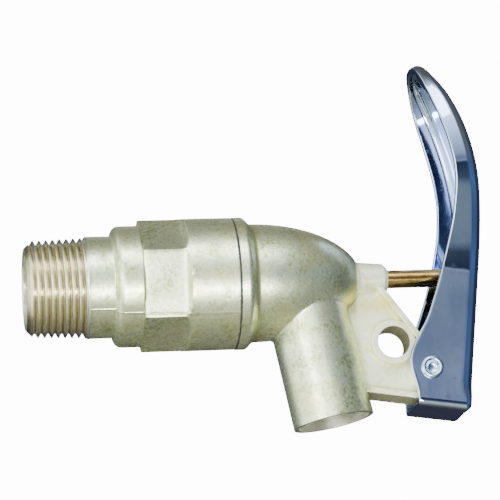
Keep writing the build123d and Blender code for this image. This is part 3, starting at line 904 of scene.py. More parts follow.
@dataclass(frozen=True)
class MattRubber(CloudedFinish):
    """Black rubber, a little dusty."""

    name: str = "rubber_finish"
    low: Colour = (0.018, 0.018, 0.019)
    high: Colour = (0.075, 0.072, 0.066)
    tone_places: Span = (0.45, 0.8)
    cloud: Cloud = Cloud(1.5, 4.0, 0.6)
    gloss: Span | float = 0.62
    relief: Cloud = Cloud(0.3, 2.0, 0.5)
    relief_bump: Span = (0.3, 0.03)
    metal: float = 0.0


@dataclass
class Finishes:
    """The finishes, each made once."""

    zinc: bpy.types.Material = field(default_factory=OutletZinc().build)
    inlet_zinc: bpy.types.Material = field(default_factory=InletZinc().build)
    bore: bpy.types.Material = field(default_factory=SatinZinc(
        "bore_finish", pale=(0.86, 0.86, 0.76), middle=(0.74, 0.74, 0.64), dull=(0.52, 0.51, 0.43),
        warm=(0.84, 0.82, 0.70)).build)
    thread: bpy.types.Material = field(default_factory=CutZinc().build)
    chrome: bpy.types.Material = field(default_factory=MirrorChrome().build)
    brass: bpy.types.Material = field(default_factory=StreakedBrass().build)
    steel: bpy.types.Material = field(default_factory=PlatedSteel().build)
    rubber: bpy.types.Material = field(default_factory=MattRubber().build)

    def of(self, slot: Slot) -> bpy.types.Material:
        """The finish of a slot."""
        return {Slot.ZINC: self.zinc, Slot.CHROME: self.chrome, Slot.BRASS: self.brass,
                Slot.STEEL: self.steel, Slot.RUBBER: self.rubber}[slot]


def dress(piece: bpy.types.Object, finish: bpy.types.Material) -> None:
    """Give a piece one finish.

    Args:
        piece: The piece.
        finish: Its material.
    """
    piece.data.materials.clear()
    piece.data.materials.append(finish)


# Inlet casting


@dataclass
class InletCasting:
    """Hollow casting with a cut pipe thread, neck, shoulder, hexagon and union part.

    Rows are places along the axis that hold points on a plain wall, and gaps keep such points clear of
    the wall's ends. Margins move the borders between finishes into the middle of a face.
    """

    thread_end: float = 16.1
    thread_radius: float = 13.0
    taper: float = 1 / 32
    pitch: float = 1.814
    groove: float = 1.32
    groove_rows: Span = (0.0, 0.05, 0.14, 0.24, 0.34, 0.42, 0.47, 0.53, 0.58, 0.66, 0.76, 0.86, 0.95)
    crest_share: float = 0.95
    flank_share: float = 0.87
    fade_length: float = 0.6
    runout: Span = (0.05, 0.25)
    nose_radius: float = 11.0
    nose_length: float = 2.0
    neck_radius: float = 13.75
    neck_gap: float = 0.6
    neck_fillet: float = 0.5
    shoulder_start: float = 23.3
    shoulder_radius: float = 16.35
    shoulder_round: float = 2.0
    shoulder_gaps: Span = (2.6, 0.45)
    hex_start: float = 30.5
    hex_end: float = 42.8
    hex_turn_deg: float = 11.6
    hex_edge: float = 0.3
    hex_rows: Span = (0.12, 0.4)
    hex_lead: float = 0.3
    hex_sink: float = 0.25
    softness: float = 0.11
    step_round: float = 2.2
    step_from_deg: float = 8.0
    union_radius: float = 17.87
    union_gaps: Span = (0.15, 0.3)
    union_edge: float = 0.15
    end: float = 55.6
    end_ring: float = 16.0
    socket_radius: float = 14.3
    socket_start: float = 45.1
    socket_row: float = 50.0
    chamber_radius: float = 13.0
    chamber_rows: Span = (38.0, 31.0)
    ledge: float = 25.5
    ledge_ring: float = 11.0
    bore: float = 9.5
    bore_rows: Span = (18.0, 9.0)
    mouth: float = 0.4
    seam_deg: float = 219.0
    seam_height: float = 0.12
    seam_width: float = 0.2
    seam_rows_deg: Span = (-1.0, -0.55, -0.25, 0.0, 0.25, 0.55, 1.0)
    mismatch: float = 0.10
    mismatch_crispness: float = 40.0
    unevenness: float = 0.045
    wave_lengths: Span = (4.1, 6.7, 9.3, 13.0)
    cut_margin: float = 0.2
    nose_margin: float = 0.1
    bore_margin: float = 0.6
    socket_margin: float = 0.3
    around: int = 288
    sharp_deg: float = 32.0

    def angles(self) -> np.ndarray:
        """Angles round the axis: even, with corners of the hexagon on them, and closer at the seams.

        Returns:
            The angles in radians, rising, from none to a whole turn.
        """
        even = np.radians(self.hex_turn_deg) + np.linspace(0, 2 * np.pi, self.around, endpoint=False)
        near = np.radians(np.array(self.seam_rows_deg))
        seams = np.radians(self.seam_deg) + np.concatenate([near, near + np.pi])
        every = np.mod(np.concatenate([even, seams]), 2 * np.pi)
        return np.concatenate([[0.0], np.unique(np.round(every, 6)), [2 * np.pi]])

    def profile(self) -> np.ndarray:
        """Outline from the open end over the outside, through the socket and back along the bore.

        The thread's rows start a turn before the open end, since each runs forward by one pitch per turn.

        Returns:
            Columns x, radius, thread share, hexagon share, cast-skin share.
        """
        crest = self.thread_radius + self.taper * self.thread_end
        turns = np.arange(-1, np.ceil(self.thread_end / self.pitch))
        x = self.pitch * (turns[:, None] + np.array(self.groove_rows)[None, :]).ravel()
        rows = [np.stack([x, np.full_like(x, crest), np.ones_like(x), 0 * x, 0 * x], axis=1)]

        def add(points: np.ndarray, hexagon: float = 0.0, skin: float = 1.0) -> None:
            """Append plain points to the profile."""
            rows.append(np.hstack([points, np.tile([0.0, hexagon, skin], (len(points), 1))]))

        crest_end, neck_start = (self.thread_end + gap for gap in self.runout)
        add(np.array([[crest_end, crest], [neck_start, self.neck_radius]]), skin=0.0)
        add(level_run(self.thread_end + self.neck_gap, self.shoulder_start - self.neck_gap,
                      self.neck_radius, count=9))
        fillet, corner = self.neck_fillet, self.shoulder_round
        add(arc((self.shoulder_start - fillet, self.neck_radius + fillet), fillet, -90, 0, count=5))
        add(arc((self.shoulder_start + corner, self.shoulder_radius - corner), corner, 180, 90, count=9))
        after, before = self.shoulder_gaps
        add(level_run(self.shoulder_start + after, self.hex_start - before, self.shoulder_radius, count=9))
        edge = self.hex_edge
        add(arc((self.hex_start - edge, self.shoulder_radius - edge), edge, 90, 0, count=4))
        second, third = (self.hex_start + row for row in self.hex_rows)
        step_start = self.hex_end - self.step_round
        add(level_run(self.hex_start, second, self.union_radius, count=2), hexagon=1.0)
        add(level_run(third, step_start, self.union_radius, count=12), hexagon=1.0)
        bend = np.radians(np.linspace(self.step_from_deg, 90, 11))
        add(np.stack([step_start + self.step_round * np.sin(bend),
                      np.full_like(bend, self.union_radius)], axis=1), hexagon=1.0)
        after, before = self.union_gaps
        add(level_run(self.hex_end + after, self.end - before, self.union_radius, count=14))
        edge = self.union_edge
        add(arc((self.end - edge, self.union_radius - edge), edge, 90, 0, count=3))
        inside = [(self.end, self.end_ring), (self.end, self.socket_radius),
                  (self.socket_row, self.socket_radius), (self.socket_start, self.socket_radius),
                  (self.socket_start, self.chamber_radius),
                  *((row, self.chamber_radius) for row in (*self.chamber_rows, self.ledge)),
                  (self.ledge, self.ledge_ring),
                  *((row, self.bore) for row in (self.ledge, *self.bore_rows, self.mouth)),
                  (0.0, self.bore + self.mouth)]
        add(np.array(inside), skin=0.0)
        return np.concatenate(rows)

    def threaded(self, row: np.ndarray, x: np.ndarray) -> np.ndarray:
        """Radius of the thread: the crest's cone less a V groove, deepest half a pitch past each crest.

        The groove fades out by a smooth step before the neck. At the open end a steeper cone, from the
        nose radius to the thread radius, is the limit.

        Args:
            row: Place of each row before the helix moves it.
            x: Place along the axis of each point.

        Returns:
            The radius of each point.
        """
        hair = 1e-6
        to_crest = np.abs(2 * np.mod(row / self.pitch + hair, 1.0) - 1)
        v = np.clip((self.crest_share - to_crest) / self.flank_share, 0, 1)
        full = self.thread_radius + self.taper * x
        nose = self.nose_radius + x * (self.thread_radius - self.nose_radius) / self.nose_length
        fade = smooth_step((self.thread_end - x) / self.fade_length)
        return np.minimum(np.minimum(nose, full), full - self.groove * v * fade)

    def six_sided(self, x: np.ndarray, a: np.ndarray, round_radius: np.ndarray) -> np.ndarray:
        """Radius of the hexagon.

        It is the smaller of the round radius and apothem / cos(angle from the flat's middle). The two are
        softened into less softness times the logarithm of the sum of e to the power of less each, over
        softness. The flats sink a little where they start and end in a quarter round.

        Args:
            x: Place along the axis of each point.
            a: Angle of each point.
            round_radius: Radius at the corners.

        Returns:
            The radius of each point.
        """
        apothem = self.union_radius * np.cos(np.pi / 6)
        from_flat = np.mod(a - np.radians(180 + self.hex_turn_deg) + np.pi / 6, np.pi / 3) - np.pi / 6
        late = np.clip((x - (self.hex_end - self.step_round)) / self.step_round, 0, 1)
        rise = self.step_round * (1 - np.sqrt(np.clip(1 - late ** 2, 0, 1)))
        early = self.hex_sink * smooth_step((self.hex_start + self.hex_lead - x) / self.hex_lead)
        flat = (apothem + rise - early) / np.cos(from_flat)
        return -self.softness * np.logaddexp(-flat / self.softness, -round_radius / self.softness)

    def cast_skin(self, x: np.ndarray, a: np.ndarray) -> np.ndarray:
        """Height of the cast skin over the plain shape.

        A seam stands proud by its height times e to the power of less the square of (run round from the
        seam / width). The lower half is a hair smaller, and waves make the whole uneven.

        Args:
            x: Place along the axis of each point.
            a: Angle of each point.

        Returns:
            The height of each point.
        """
        from_seam = a - np.radians(self.seam_deg)
        run = (np.mod(from_seam + np.pi / 2, np.pi) - np.pi / 2) * self.union_radius
        seam = self.seam_height * np.exp(-(run / self.seam_width) ** 2)
        lower = smooth_step(np.sin(from_seam) * self.mismatch_crispness + 0.5)
        wave = waves(x, a * self.neck_radius, self.wave_lengths)
        return seam - self.mismatch * lower - self.unevenness * (1 + wave) / 2

    def radii(self, profile: np.ndarray, angles: np.ndarray) -> tuple[np.ndarray, np.ndarray]:
        """Place along the axis and radius over the whole surface.

        A thread's row lies at x + pitch times turns, held between the open end and the neck, so that crests
        and roots follow the rows.

        Args:
            profile: Rows from profile().
            angles: Angles round the axis.

        Returns:
            The place and the radius, each profile by angle.
        """
        row, base, thread, hexagon, skin = (profile[:, k][:, None] for k in range(5))
        a = angles[None, :]
        along = np.clip(row + self.pitch * a / (2 * np.pi), 0.0, self.thread_end)
        x = np.where(thread > 0, along, row + 0 * a)
        r = np.where(thread > 0, self.threaded(row, x), base)
        r = np.where(hexagon > 0, self.six_sided(x, a, base), r)
        r = r + skin * self.cast_skin(x, a)
        return x, np.minimum(r, np.where(skin > 0, self.union_radius, r))

    def build(self, finishes: Finishes) -> bpy.types.Object:
        """Make, dress and place the casting.

        Args:
            finishes: The finishes.

        Returns:
            The piece.
        """
        profile, angles = self.profile(), self.angles()
        grid = spun_grid(*self.radii(profile, angles), angles)
        piece = piece_from_grid("inlet_casting", grid, True, False, self.sharp_deg)
        dress(piece, finishes.inlet_zinc)
        piece.data.materials.append(finishes.thread)
        piece.data.materials.append(finishes.bore)
        self.mark_thread(piece)
        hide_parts("inlet_body")
        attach(piece, Body.CASTINGS.value)
        return piece

    def mark_thread(self, piece: bpy.types.Object) -> None:
        """Store how deep each vertex lies in the groove, and give cut and inner faces their finishes.

        Finish 0 is the cast skin, 1 the cut thread and 2 the bore.

        Args:
            piece: The casting.
        """
        mesh = piece.data
        x, y, z = places_of(mesh.vertices, "co").T
        # This depth drives the thread's painted crest highlight and groove shade.
        below = np.clip((self.thread_radius + self.taper * x - np.hypot(y, z)) / self.groove, 0, 1)
        layer = mesh.attributes.new(GROOVE_DEPTH, "FLOAT", "POINT")
        layer.data.foreach_set("value", below.astype(np.float32))
        x, y, z = places_of(mesh.polygons, "center").T
        out = np.hypot(y, z)
        cut = (x < self.thread_end + self.cut_margin) & (out > self.nose_radius - self.nose_margin)
        wall = np.where(x < self.ledge, self.bore + self.bore_margin, self.socket_radius + self.socket_margin)
        mesh.polygons.foreach_set("material_index", np.where(out < wall, 2, cut).astype(np.int32))


# Lever


@dataclass
class PushLever:
    """Pressed channel, open towards the casting, that widens into a curled thumb blade."""

    pivot: tuple[float, float] = (106.9, -26.7)
    lean_deg: float = 8.4
    wall: float = 11.55
    foot: float = -10.35
    straight: float = 27.0
    bow: float = 155.0
    curl: float = 70.0
    line_span: Span = (-20.0, 110.0)
    line_points: int = 2601
    sheet: float = 1.5
    half_width: float = 9.0
    blade_half_width: float = 13.75
    flare_z: float = -2.0
    widest_z: float = 31.8
    tip_z: float = 61.1
    crown_powers: Span = (2.5, 2.3)
    side_gap: float = 0.3
    flank_from: float = 0.02
    outline_points: tuple[int, ...] = (12, 10, 40, 60, 120)
    around: int = 216
    corner: float = 3.0
    foot_corner: float = 1.3
    foot_round: float = 1.7
    foot_blend: Span = (2.0, 5.0)
    tip_blend: float = 8.0
    corner_room: float = 0.6
    corner_least: float = 0.8
    corner_at_tip: float = 0.7
    inner_least: float = 0.5
    aim_below_tip: float = 12.5
    section_points: tuple[int, ...] = (14, 9, 16)
    back_crowding: float = 1.15
    lip: float = 0.35
    lip_span_deg: Span = (170.0, 10.0)
    lip_points: int = 7
    rim_at: Span = (-12, -7.4, -5.6, -3.5, -0.6, 2.6, 5.3, 9.5, 14, 23.1, 32.8, 42.5, 52.4, 59, 64.5, 72,
                    78.4, 84.5, 90.3, 93)
    rim_depth: Span = (14.3, 14.9, 15.4, 16.26, 17.45, 17.7, 17.12, 15.45, 13.65, 11.47, 9.86, 8.14, 7.0,
                       6.68, 6.63, 6.4, 5.92, 4.9, 3.3, 2.7)
    rim_smoothing: int = 9
    rivet_hole: float = 2.28
    cutter_length: float = 40.0
    cutter_sides: int = 64
    sharp_deg: float = 40.0

    def back_line(self) -> tuple[np.ndarray, ...]:
        """Side view of the back wall by the distance run along it.

        The heading from upright stays at the lean, turns back by 1 / bow per millimetre until upright,
        then by 1 / curl. The place is the running sum of (sin, cos) of the heading.

        Returns:
            Distances, headings, x and z.
        """
        a = np.linspace(*self.line_span, self.line_points)
        lean = np.radians(self.lean_deg)
        turn = self.straight + self.bow * lean
        psi = np.where(a < self.straight, lean, np.where(
            a < turn, lean - (a - self.straight) / self.bow, -(a - turn) / self.curl))
        step = a[1] - a[0]
        x = np.concatenate([[0], np.cumsum(np.sin((psi[1:] + psi[:-1]) / 2) * step)])
        z = np.concatenate([[0], np.cumsum(np.cos((psi[1:] + psi[:-1]) / 2) * step)])
        x += self.pivot[0] + self.wall * np.cos(lean) - np.interp(0, a, x)
        z += self.pivot[1] - self.wall * np.sin(lean) - np.interp(0, a, z)
        return a, psi, x, z

    def outline(self) -> np.ndarray:
        """Right half of the front view, as (y, distance along the back), from the foot's middle to the tip.

        The flank widens by a smooth step. The crown's width and height are powers of cos and sin of one
        angle, 2 over each of the crown powers.

        Returns:
            The points, evenly spaced.
        """
        a, _, _, z = self.back_line()
        low, fc = self.foot, self.foot_corner
        bottom_count, bend_count, side_count, flank_count, crown_count = self.outline_points
        bottom = level_run(0, self.half_width - fc, low, bottom_count)
        bend = arc((self.half_width - fc, low + fc), fc, -90, 0, bend_count)
        side_z = np.linspace(np.interp(low + fc, a, z) + self.side_gap, self.flare_z, side_count)
        side = np.stack([np.full(side_count, self.half_width), np.interp(side_z, z, a)], axis=1)
        t = np.linspace(self.flank_from, 1, flank_count)
        flank_z = self.flare_z + (self.widest_z - self.flare_z) * t
        flank_y = self.half_width + (self.blade_half_width - self.half_width) * smooth_step(t)
        flank = np.stack([flank_y, np.interp(flank_z, z, a)], axis=1)
        phi = np.radians(np.linspace(1, 90, crown_count))
        across, up = self.crown_powers
        crown_y = self.blade_half_width * np.cos(phi) ** (2 / across)
        crown_z = self.widest_z + (self.tip_z - self.widest_z) * np.sin(phi) ** (2 / up)
        crown = np.stack([np.abs(crown_y), np.interp(crown_z, z, a)], axis=1)
        crown[-1, 0] = 0.0
        line = np.concatenate([bottom, bend, side, flank, crown])
        run = np.concatenate([[0], np.cumsum(np.hypot(*np.diff(line, axis=0).T))])
        keep = np.concatenate([[True], np.diff(run) > 1e-9])
        even = np.linspace(0, run[-1], self.around)
        return np.stack([np.interp(even, run[keep], line[keep, k]) for k in range(2)], axis=1)

    def section(self, wall_depth: np.ndarray, reach: np.ndarray, inset: float, corner: np.ndarray
                ) -> tuple[np.ndarray, np.ndarray]:
        """One skin from the rim over the flange and the rounded corner to the middle of the back.

        Args:
            wall_depth: Depth of the rim at each outline point.
            reach: Distance from each outline point to the middle line.
            inset: How far the skin lies inside the outer one.
            corner: Radius of the corner at each outline point.

        Returns:
            Distance in from the outline and depth from the back, each point by row.
        """
        wall_count, bend_count, back_count = self.section_points
        share = np.linspace(0, 1, wall_count)[None, :]
        r = corner[:, None]
        top = wall_depth[:, None]
        down = top + (inset + r - top) * share
        along_wall = np.full_like(down, inset)
        turn = np.radians(np.linspace(0, 90, bend_count))[None, 1:]
        bend_in = inset + r * (1 - np.cos(turn))
        bend_down = inset + r * (1 - np.sin(turn))
        back_share = np.linspace(0, 1, back_count)[None, 1:] ** self.back_crowding
        last = bend_in[:, -1:]
        back_in = last + (reach[:, None] - last) * back_share
        back_down = np.full_like(back_in, inset)
        return (np.concatenate([along_wall, bend_in, back_in], axis=1),
                np.concatenate([down, bend_down, back_down], axis=1))

    def rim(self, run: np.ndarray) -> np.ndarray:
        """Depth of the rim: its drawn points joined by lines, then smoothed by a raised cosine.

        Args:
            run: Distance along the back of each outline point.

        Returns:
            The depth of each outline point.
        """
        depth = np.interp(run, self.rim_at, self.rim_depth)
        kernel = np.hanning(self.rim_smoothing) / np.hanning(self.rim_smoothing).sum()
        return np.convolve(np.pad(depth, self.rim_smoothing // 2, mode="edge"), kernel, mode="valid")

    def corners(self, run: np.ndarray, depth: np.ndarray) -> np.ndarray:
        """Radius of the outer corner: smaller at the foot, and never more than the rim leaves room for.

        Args:
            run: Distance along the back of each outline point.
            depth: Depth of the rim at each outline point.

        Returns:
            The radius at each outline point.
        """
        gap, blend = self.foot_blend
        foot_share = smooth_step((run - self.foot - gap) / blend)
        tip_share = smooth_step((run[-1] - run) / self.tip_blend)
        radius = self.foot_round + (self.corner - self.foot_round) * foot_share
        room = np.maximum(depth - self.corner_room, self.corner_least)
        return np.minimum(radius, room * (self.corner_at_tip + (1 - self.corner_at_tip) * tip_share))

    def grid(self) -> np.ndarray:
        """The whole closed skin: outline points round the lever by places across its section.

        Every outline point looks at a point on the middle line. A place lies some way along that look
        and some depth in from the back line, square to it.

        Returns:
            The grid of points.
        """
        a, psi, x, z = self.back_line()
        right = self.outline()
        aim = np.clip(right[:, 1], self.foot + self.half_width, right[-1, 1] - self.aim_below_tip)
        look = np.stack([-right[:, 0], aim - right[:, 1]], axis=1)
        reach = np.hypot(look[:, 0], look[:, 1])
        look = look / reach[:, None]
        depth = self.rim(right[:, 1])
        outer_corner = self.corners(right[:, 1], depth)
        inner_corner = np.maximum(outer_corner - self.sheet, self.inner_least)
        out_in, out_down = self.section(depth - self.lip, reach, 0.0, outer_corner)
        in_in, in_down = self.section(depth - self.lip, reach, self.sheet, inner_corner)
        lip = np.radians(np.linspace(*self.lip_span_deg, self.lip_points))[None, :]
        lip_in = self.sheet / 2 + self.sheet / 2 * np.cos(lip) + 0 * depth[:, None]
        lip_down = (depth - self.lip)[:, None] + self.lip * np.sin(lip)
        across = np.concatenate([out_in[:, ::-1], lip_in, in_in], axis=1)
        deep = np.concatenate([out_down[:, ::-1], lip_down, in_down], axis=1)
        y, run = (right[:, k][:, None] + look[:, k][:, None] * across for k in range(2))
        head = np.interp(run, a, psi)
        half = np.stack([np.interp(run, a, x) - deep * np.cos(head), y,
                         np.interp(run, a, z) + deep * np.sin(head)], axis=2)
        half[:, [0, -1], 1] = 0.0
        left = half[::-1][1:-1] * np.array([1.0, -1.0, 1.0])
        return np.concatenate([half, left])

    def build(self, finishes: Finishes) -> bpy.types.Object:
        """Make, dress and place the lever.

        Args:
            finishes: The finishes.

        Returns:
            The piece.
        """
        piece = piece_from_grid("chromed_lever", self.grid(), True, False, self.sharp_deg)
        self.drill(piece)
        dress(piece, finishes.chrome)
        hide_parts("lever")
        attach(piece, Body.LEVER.value)
        return piece

    def drill(self, piece: bpy.types.Object) -> None:
        """Cut the rivet's holes through both flanges with a round cutter.

        Args:
            piece: The lever.
        """
        bpy.ops.mesh.primitive_cylinder_add(
            vertices=self.cutter_sides, radius=self.rivet_hole * MM, depth=self.cutter_length * MM,
            location=(self.pivot[0] * MM, 0, self.pivot[1] * MM), rotation=(np.pi / 2, 0, 0))
        cutter = bpy.context.active_object
        cut = piece.modifiers.new("rivet_holes", "BOOLEAN")
        cut.operation, cut.solver, cut.object = "DIFFERENCE", "EXACT", cutter
        drilled = bpy.data.meshes.new_from_object(piece.evaluated_get(bpy.context.evaluated_depsgraph_get()))
        piece.modifiers.clear()
        old, piece.data = piece.data, drilled
        bpy.data.meshes.remove(old)
        bpy.data.objects.remove(cutter)
        drilled.shade_smooth()
        drilled.set_sharp_from_angle(angle=np.radians(self.sharp_deg))


# Rivet and spring


@dataclass
class PivotRivet:
    """Semi-tubular rivet with a low domed head on the far side and a rolled, dished end on the near side.

    The dish's line gives, for each point, its height over the dish's floor and its radius.
    """

    place: tuple[float, float] = (106.9, -26.7)
    shank: float = 2.2
    head: float = 2.95
    face: float = 9.1
    roll: float = 0.9
    roll_height: float = 0.45
    roll_points: int = 13
    dish: float = 1.75
    dish_depth: float = 1.25
    dish_line: tuple[tuple[float, float], ...] = ((-0.12, 0.0), (-0.05, 0.6), (0.0, 1.1), (0.3, 1.45))
    dish_wall: tuple[float, float] = (0.6, 1.7)
    neck_in: float = 0.75
    neck_gap: float = 0.03
    undercut: float = 0.25
    head_edge: float = 0.25
    head_dome: float = 0.65
    dome_power: float = 0.7
    dome_points: int = 9
    around: int = 72
    sharp_deg: float = 45.0

    def profile(self) -> np.ndarray:
        """Outline from the dish's floor over the roll and the shank to the middle of the far head.

        The roll is half an ellipse. The dome's height follows the sine of an angle and its radius a power
        of the cosine.

        Returns:
            Columns distance towards the near side and radius.
        """
        near = self.face + self.roll
        floor = near - self.dish_depth
        wall_in, wall_radius = self.dish_wall
        dish = np.array([*((floor + x, r) for x, r in self.dish_line), (near - wall_in, wall_radius)])
        half = np.radians(np.linspace(180, 0, self.roll_points))
        roll = np.stack([near - self.roll_height + self.roll_height * np.sin(half),
                         (self.head + self.dish) / 2 + (self.head - self.dish) / 2 * np.cos(half)], axis=1)
        neck = np.array([[near - self.neck_in, self.head - self.neck_gap],
                         [self.face, self.head - self.undercut], [self.face, self.shank],
                         [0.0, self.shank], [-self.face, self.shank], [-self.face, self.head]])
        turn = np.radians(np.linspace(0, 90, self.dome_points))
        cap = np.stack([-self.face - self.head_edge - self.head_dome * np.sin(turn),
                        self.head * np.cos(turn) ** self.dome_power], axis=1)
        cap[-1, 1] = 0.0
        return np.concatenate([dish, roll, neck, cap])

    def build(self, finishes: Finishes) -> bpy.types.Object:
        """Make, dress and place the rivet.

        Args:
            finishes: The finishes.

        Returns:
            The piece.
        """
        line = self.profile()
        spun = spun_grid(line[:, 0], line[:, 1], np.linspace(0, 2 * np.pi, self.around, endpoint=False))
        grid = np.stack([self.place[0] + spun[..., 1], -spun[..., 0], self.place[1] + spun[..., 2]], axis=2)
        piece = piece_from_grid("clinched_rivet", grid, False, True, self.sharp_deg)
        dress(piece, finishes.steel)
        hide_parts("pivot_rivet")
        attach(piece, Body.CASTINGS.value)
        return piece


@dataclass
class ClosingSpring:
    """Conical wire spring, made at one length; the real one flattens towards its wide end as the stem moves
    in.
    """

    start: float = 27.47
    end: float = 39.68
    wide: float = 10.9
    narrow: float = 7.4
    wire: float = 0.62
    turns: float = 5.0
    along: int = 420
    around: int = 18
    anchor_x: float = 26.8
    keep: float = 0.46
    sharp_deg: float = 50.0

    def grid(self) -> np.ndarray:
        """Points of the wire's skin, path by circle.

        The wire's middle runs along a helix whose radius shrinks evenly from wide to narrow. A circle of
        the wire's radius is carried along it, square to the path, and both ends shrink to a point.

        Returns:
            The grid of points.
        """
        t = np.linspace(0, 1, self.along)
        angle = 2 * np.pi * self.turns * t
        r = self.wide + (self.narrow - self.wide) * t
        x = self.start + (self.end - self.start) * t
        path = np.stack([x, r * np.cos(angle), r * np.sin(angle)], axis=1)
        along = np.gradient(path, axis=0)
        along /= np.linalg.norm(along, axis=1)[:, None]
        outward = np.stack([0 * t, np.cos(angle), np.sin(angle)], axis=1)
        outward -= (outward * along).sum(axis=1)[:, None] * along
        outward /= np.linalg.norm(outward, axis=1)[:, None]
        side = np.cross(along, outward)
        width = np.full_like(t, self.wire)
        width[[0, -1]] = 0.0
        path[[0, -1]] = path[[1, -2]]
        turn = np.linspace(0, 2 * np.pi, self.around, endpoint=False)[None, :, None]
        ring = np.cos(turn) * outward[:, None, :] + np.sin(turn) * side[:, None, :]
        return path[:, None, :] + width[:, None, None] * ring

    def build(self, finishes: Finishes) -> bpy.types.Object:
        """Make, dress and place the spring.

        Args:
            finishes: The finishes.

        Returns:
            The piece.
        """
        piece = piece_from_grid("wire_spring", self.grid(), False, True, self.sharp_deg)
        dress(piece, finishes.steel)
        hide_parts("closing_spring")
        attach(piece, Body.CASTINGS.value)
        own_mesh(piece)
        return piece


@dataclass
class PlainPieces:
    """CAD nodes that keep their own shape and take a finish."""

    slots: dict[str, Slot] = field(default_factory=lambda: {
        "outlet_body": Slot.ZINC, "body_gasket": Slot.RUBBER, "spring_seat": Slot.STEEL,
        "stem": Slot.BRASS, "stem_o_ring_outer": Slot.RUBBER, "stem_o_ring_inner": Slot.RUBBER,
        "seal_washer": Slot.BRASS, "poppet_seal": Slot.RUBBER, "poppet": Slot.BRASS,
        "lock_washer": Slot.STEEL, "poppet_nut": Slot.BRASS})

    def build(self, finishes: Finishes) -> list[str]:
        """Dress each node.

        Args:
            finishes: The finishes.

        Returns:
            The names of the nodes dressed.
        """
        for name, slot in self.slots.items():
            dress(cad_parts[name], finishes.of(slot))
        return list(self.slots)


# Studio


@dataclass(frozen=True)
class SoftLight:
    """Soft oblong light, with its place and size in metres and its power in watts."""

    name: str
    at: Triple
    size: tuple[float, float]
    power: float
    colour: Colour = (1.0, 1.0, 1.0)

    def hang(self, aim: Triple) -> None:
        """Hang the light.

        Args:
            aim: The point it faces, in metres.
        """
        lamp = bpy.data.lights.new(self.name, "AREA")
        lamp.shape, lamp.energy, lamp.color = "RECTANGLE", self.power, self.colour
        lamp.size, lamp.size_y = self.size
        holder = bpy.data.objects.new(self.name, lamp)
        holder.location = self.at
        holder.rotation_euler = (Vector(aim) - Vector(self.at)).to_track_quat("-Z", "Y").to_euler()
        bpy.context.scene.collection.objects.link(holder)


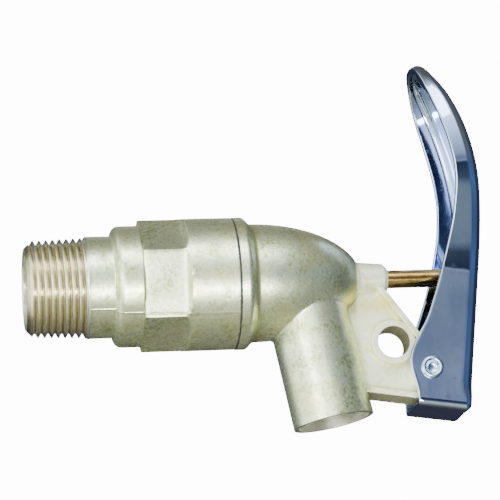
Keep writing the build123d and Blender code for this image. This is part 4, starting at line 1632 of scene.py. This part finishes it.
@dataclass
class Studio:
    """Pale floor, soft lights and a camera at the photograph's angle.

    Each side of the surround lists its tones by the angle, in degrees over level, that they stand at.
    """

    floor_z: float = -0.26
    floor_radius: float = 0.8
    floor_tone: Colour = (0.92, 0.92, 0.91)
    floor_rough: float = 0.85
    background: float = 14.0
    azimuth_deg: float = 9.27
    elevation_deg: float = -14.74
    roll_deg: float = -3.91
    camera_at: Triple = (-0.0483, -0.6720, -0.1698)
    lens: float = 187.4
    aim: Triple = (0.068, 0.0, 0.0)
    lamps: tuple[SoftLight, ...] = (
        SoftLight("key", (-0.52, -0.74, -0.04), (0.36, 0.45), 4.2, (1.0, 0.99, 0.96)),
        SoftLight("overhead", (-0.05, -0.58, 0.66), (0.70, 0.35), 4.5, (1.0, 1.0, 0.98)),
        SoftLight("low", (0.03, -0.52, -0.215), (0.26, 0.07), 2.9),
        SoftLight("rim", (0.2, 0.8, 0.6), (0.5, 0.5), 0.25))
    front: tuple[tuple[float, Colour], ...] = (
        (-90, (0.50, 0.48, 0.32)), (-42, (0.72, 0.72, 0.54)), (-26, (1.70, 1.72, 1.56)),
        (-8, (3.00, 3.14, 3.00)), (12, (2.80, 2.98, 2.85)), (34, (1.80, 1.94, 1.82)),
        (52, (2.40, 2.50, 2.38)), (68, (0.46, 0.47, 0.38)), (90, (0.17, 0.16, 0.11)))
    lane: tuple[tuple[float, Colour], ...] = (
        (-90, (0.50, 0.48, 0.32)), (-35, (0.90, 0.92, 0.80)), (-22, (0.80, 0.84, 0.76)),
        (-12, (0.26, 0.31, 0.31)), (-4, (0.25, 0.30, 0.31)), (0, (0.07, 0.09, 0.11)),
        (9.8, (0.03, 0.04, 0.06)), (11.2, (0.44, 0.50, 0.60)), (12.4, (0.28, 0.32, 0.37)),
        (14.5, (0.31, 0.35, 0.41)), (20, (0.95, 1.06, 1.22)), (30, (1.90, 2.10, 2.35)),
        (50, (3.40, 3.80, 4.30)), (66, (0.60, 0.64, 0.66)), (90, (0.17, 0.16, 0.11)))
    right: tuple[tuple[float, Colour], ...] = (
        (-90, (0.16, 0.15, 0.10)), (-14, (0.06, 0.09, 0.15)), (2, (0.10, 0.19, 0.36)),
        (13, (0.10, 0.15, 0.24)), (24, (0.19, 0.20, 0.16)), (60, (0.15, 0.15, 0.12)),
        (90, (0.15, 0.15, 0.11)))
    back: tuple[tuple[float, Colour], ...] = (
        (-90, (0.20, 0.19, 0.14)), (-10, (0.035, 0.035, 0.06)), (25, (0.05, 0.06, 0.10)),
        (50, (0.16, 0.16, 0.14)), (90, (0.15, 0.15, 0.11)))
    lane_edge: Span = (0.03, 0.07)
    right_edge: Span = (0.24, 0.40)
    back_lean: float = 0.35
    back_edge: Span = (-0.20, 0.20)

    def floor(self) -> None:
        """Lay a plain pale floor well below the faucet."""
        bpy.ops.mesh.primitive_circle_add(vertices=128, radius=self.floor_radius, fill_type="NGON",
                                          location=(0, 0, self.floor_z))
        plane = bpy.context.active_object
        plane.name = "studio_floor"
        plane.visible_glossy = False
        n = Nodes("pale_floor")
        n.surface(self.floor_tone, self.floor_rough)
        plane.data.materials.append(n.material)

    def lights(self) -> None:
        """Hang the key beside the camera, a low strip, one overhead and a faint rim."""
        for lamp in self.lamps:
            lamp.hang(self.aim)

    def surround(self) -> None:
        """Light the scene from a surround: bright in front but for a dull lane, bluish right, dark behind."""
        world = bpy.data.worlds.new("studio_surround")
        bpy.context.scene.world = world
        world.use_nodes = True
        t = Tree(world.node_tree)
        parts = t.node("ShaderNodeSeparateXYZ")
        t.link(t.node("ShaderNodeTexCoord").outputs["Generated"], parts.inputs[0])
        x, y, z = (parts.outputs[axis] for axis in "XYZ")
        height = t.spread(z, -1.0, 1.0)
        front, lane, right, back = (
            t.ramp(height, [(1 + float(np.sin(np.radians(up)))) / 2 for up, _ in stops],
                   [tone for _, tone in stops])
            for stops in (self.front, self.lane, self.right, self.back))
        tone = t.blended(t.spread(x, *self.lane_edge), front, lane)
        tone = t.blended(t.spread(x, *self.right_edge), tone, right)
        tone = t.blended(t.spread(t.sum_of(y, x, self.back_lean), *self.back_edge), tone, back)
        lit = t.node("ShaderNodeBackground")
        t.link(tone, lit.inputs["Color"])
        seen = t.node("ShaderNodeBackground")
        seen.inputs["Color"].default_value = (1, 1, 1, 1)
        seen.inputs["Strength"].default_value = self.background
        mix = t.node("ShaderNodeMixShader")
        t.link(t.node("ShaderNodeLightPath").outputs["Is Camera Ray"], mix.inputs["Fac"])
        t.link(lit.outputs[0], mix.inputs[1])
        t.link(seen.outputs[0], mix.inputs[2])
        t.link(mix.outputs[0], t.node("ShaderNodeOutputWorld").inputs["Surface"])

    def camera(self) -> None:
        """Stand the camera where the photograph was taken from, below the inlet's axis, and roll it."""
        tilt, heading = np.radians(90 - self.elevation_deg), -np.radians(self.azimuth_deg)
        turn = Euler((tilt, 0, heading), "XYZ").to_matrix()
        turn = turn @ Matrix.Rotation(np.radians(self.roll_deg), 3, "Z")
        lens = bpy.data.cameras.new("photo_camera")
        lens.lens, lens.sensor_width = self.lens, 36.0
        lens.clip_start, lens.clip_end = 0.05, 20.0
        camera = bpy.data.objects.new("photo_camera", lens)
        camera.matrix_world = Matrix.Translation(self.camera_at) @ turn.to_4x4()
        bpy.context.scene.collection.objects.link(camera)
        bpy.context.scene.camera = camera

    def build(self) -> None:
        """Set up the whole studio."""
        self.floor()
        self.lights()
        self.surround()
        self.camera()


def write_sizes() -> None:
    """Bring the view layer up to date."""
    bpy.context.view_layer.update()


def main() -> None:
    """Build every piece in order and report each."""
    finishes = Finishes()
    for maker in (InletCasting(), PushLever(), PivotRivet(), ClosingSpring()):
        piece = maker.build(finishes)
        LOG.info("%s: %d faces", piece.name, len(piece.data.polygons))
    LOG.info("dressed %s", ", ".join(PlainPieces().build(finishes)))
    Studio().build()
    write_sizes()


if __name__ == "__main__":
    logging.basicConfig(level=logging.INFO, format="%(name)s: %(message)s")
    main()
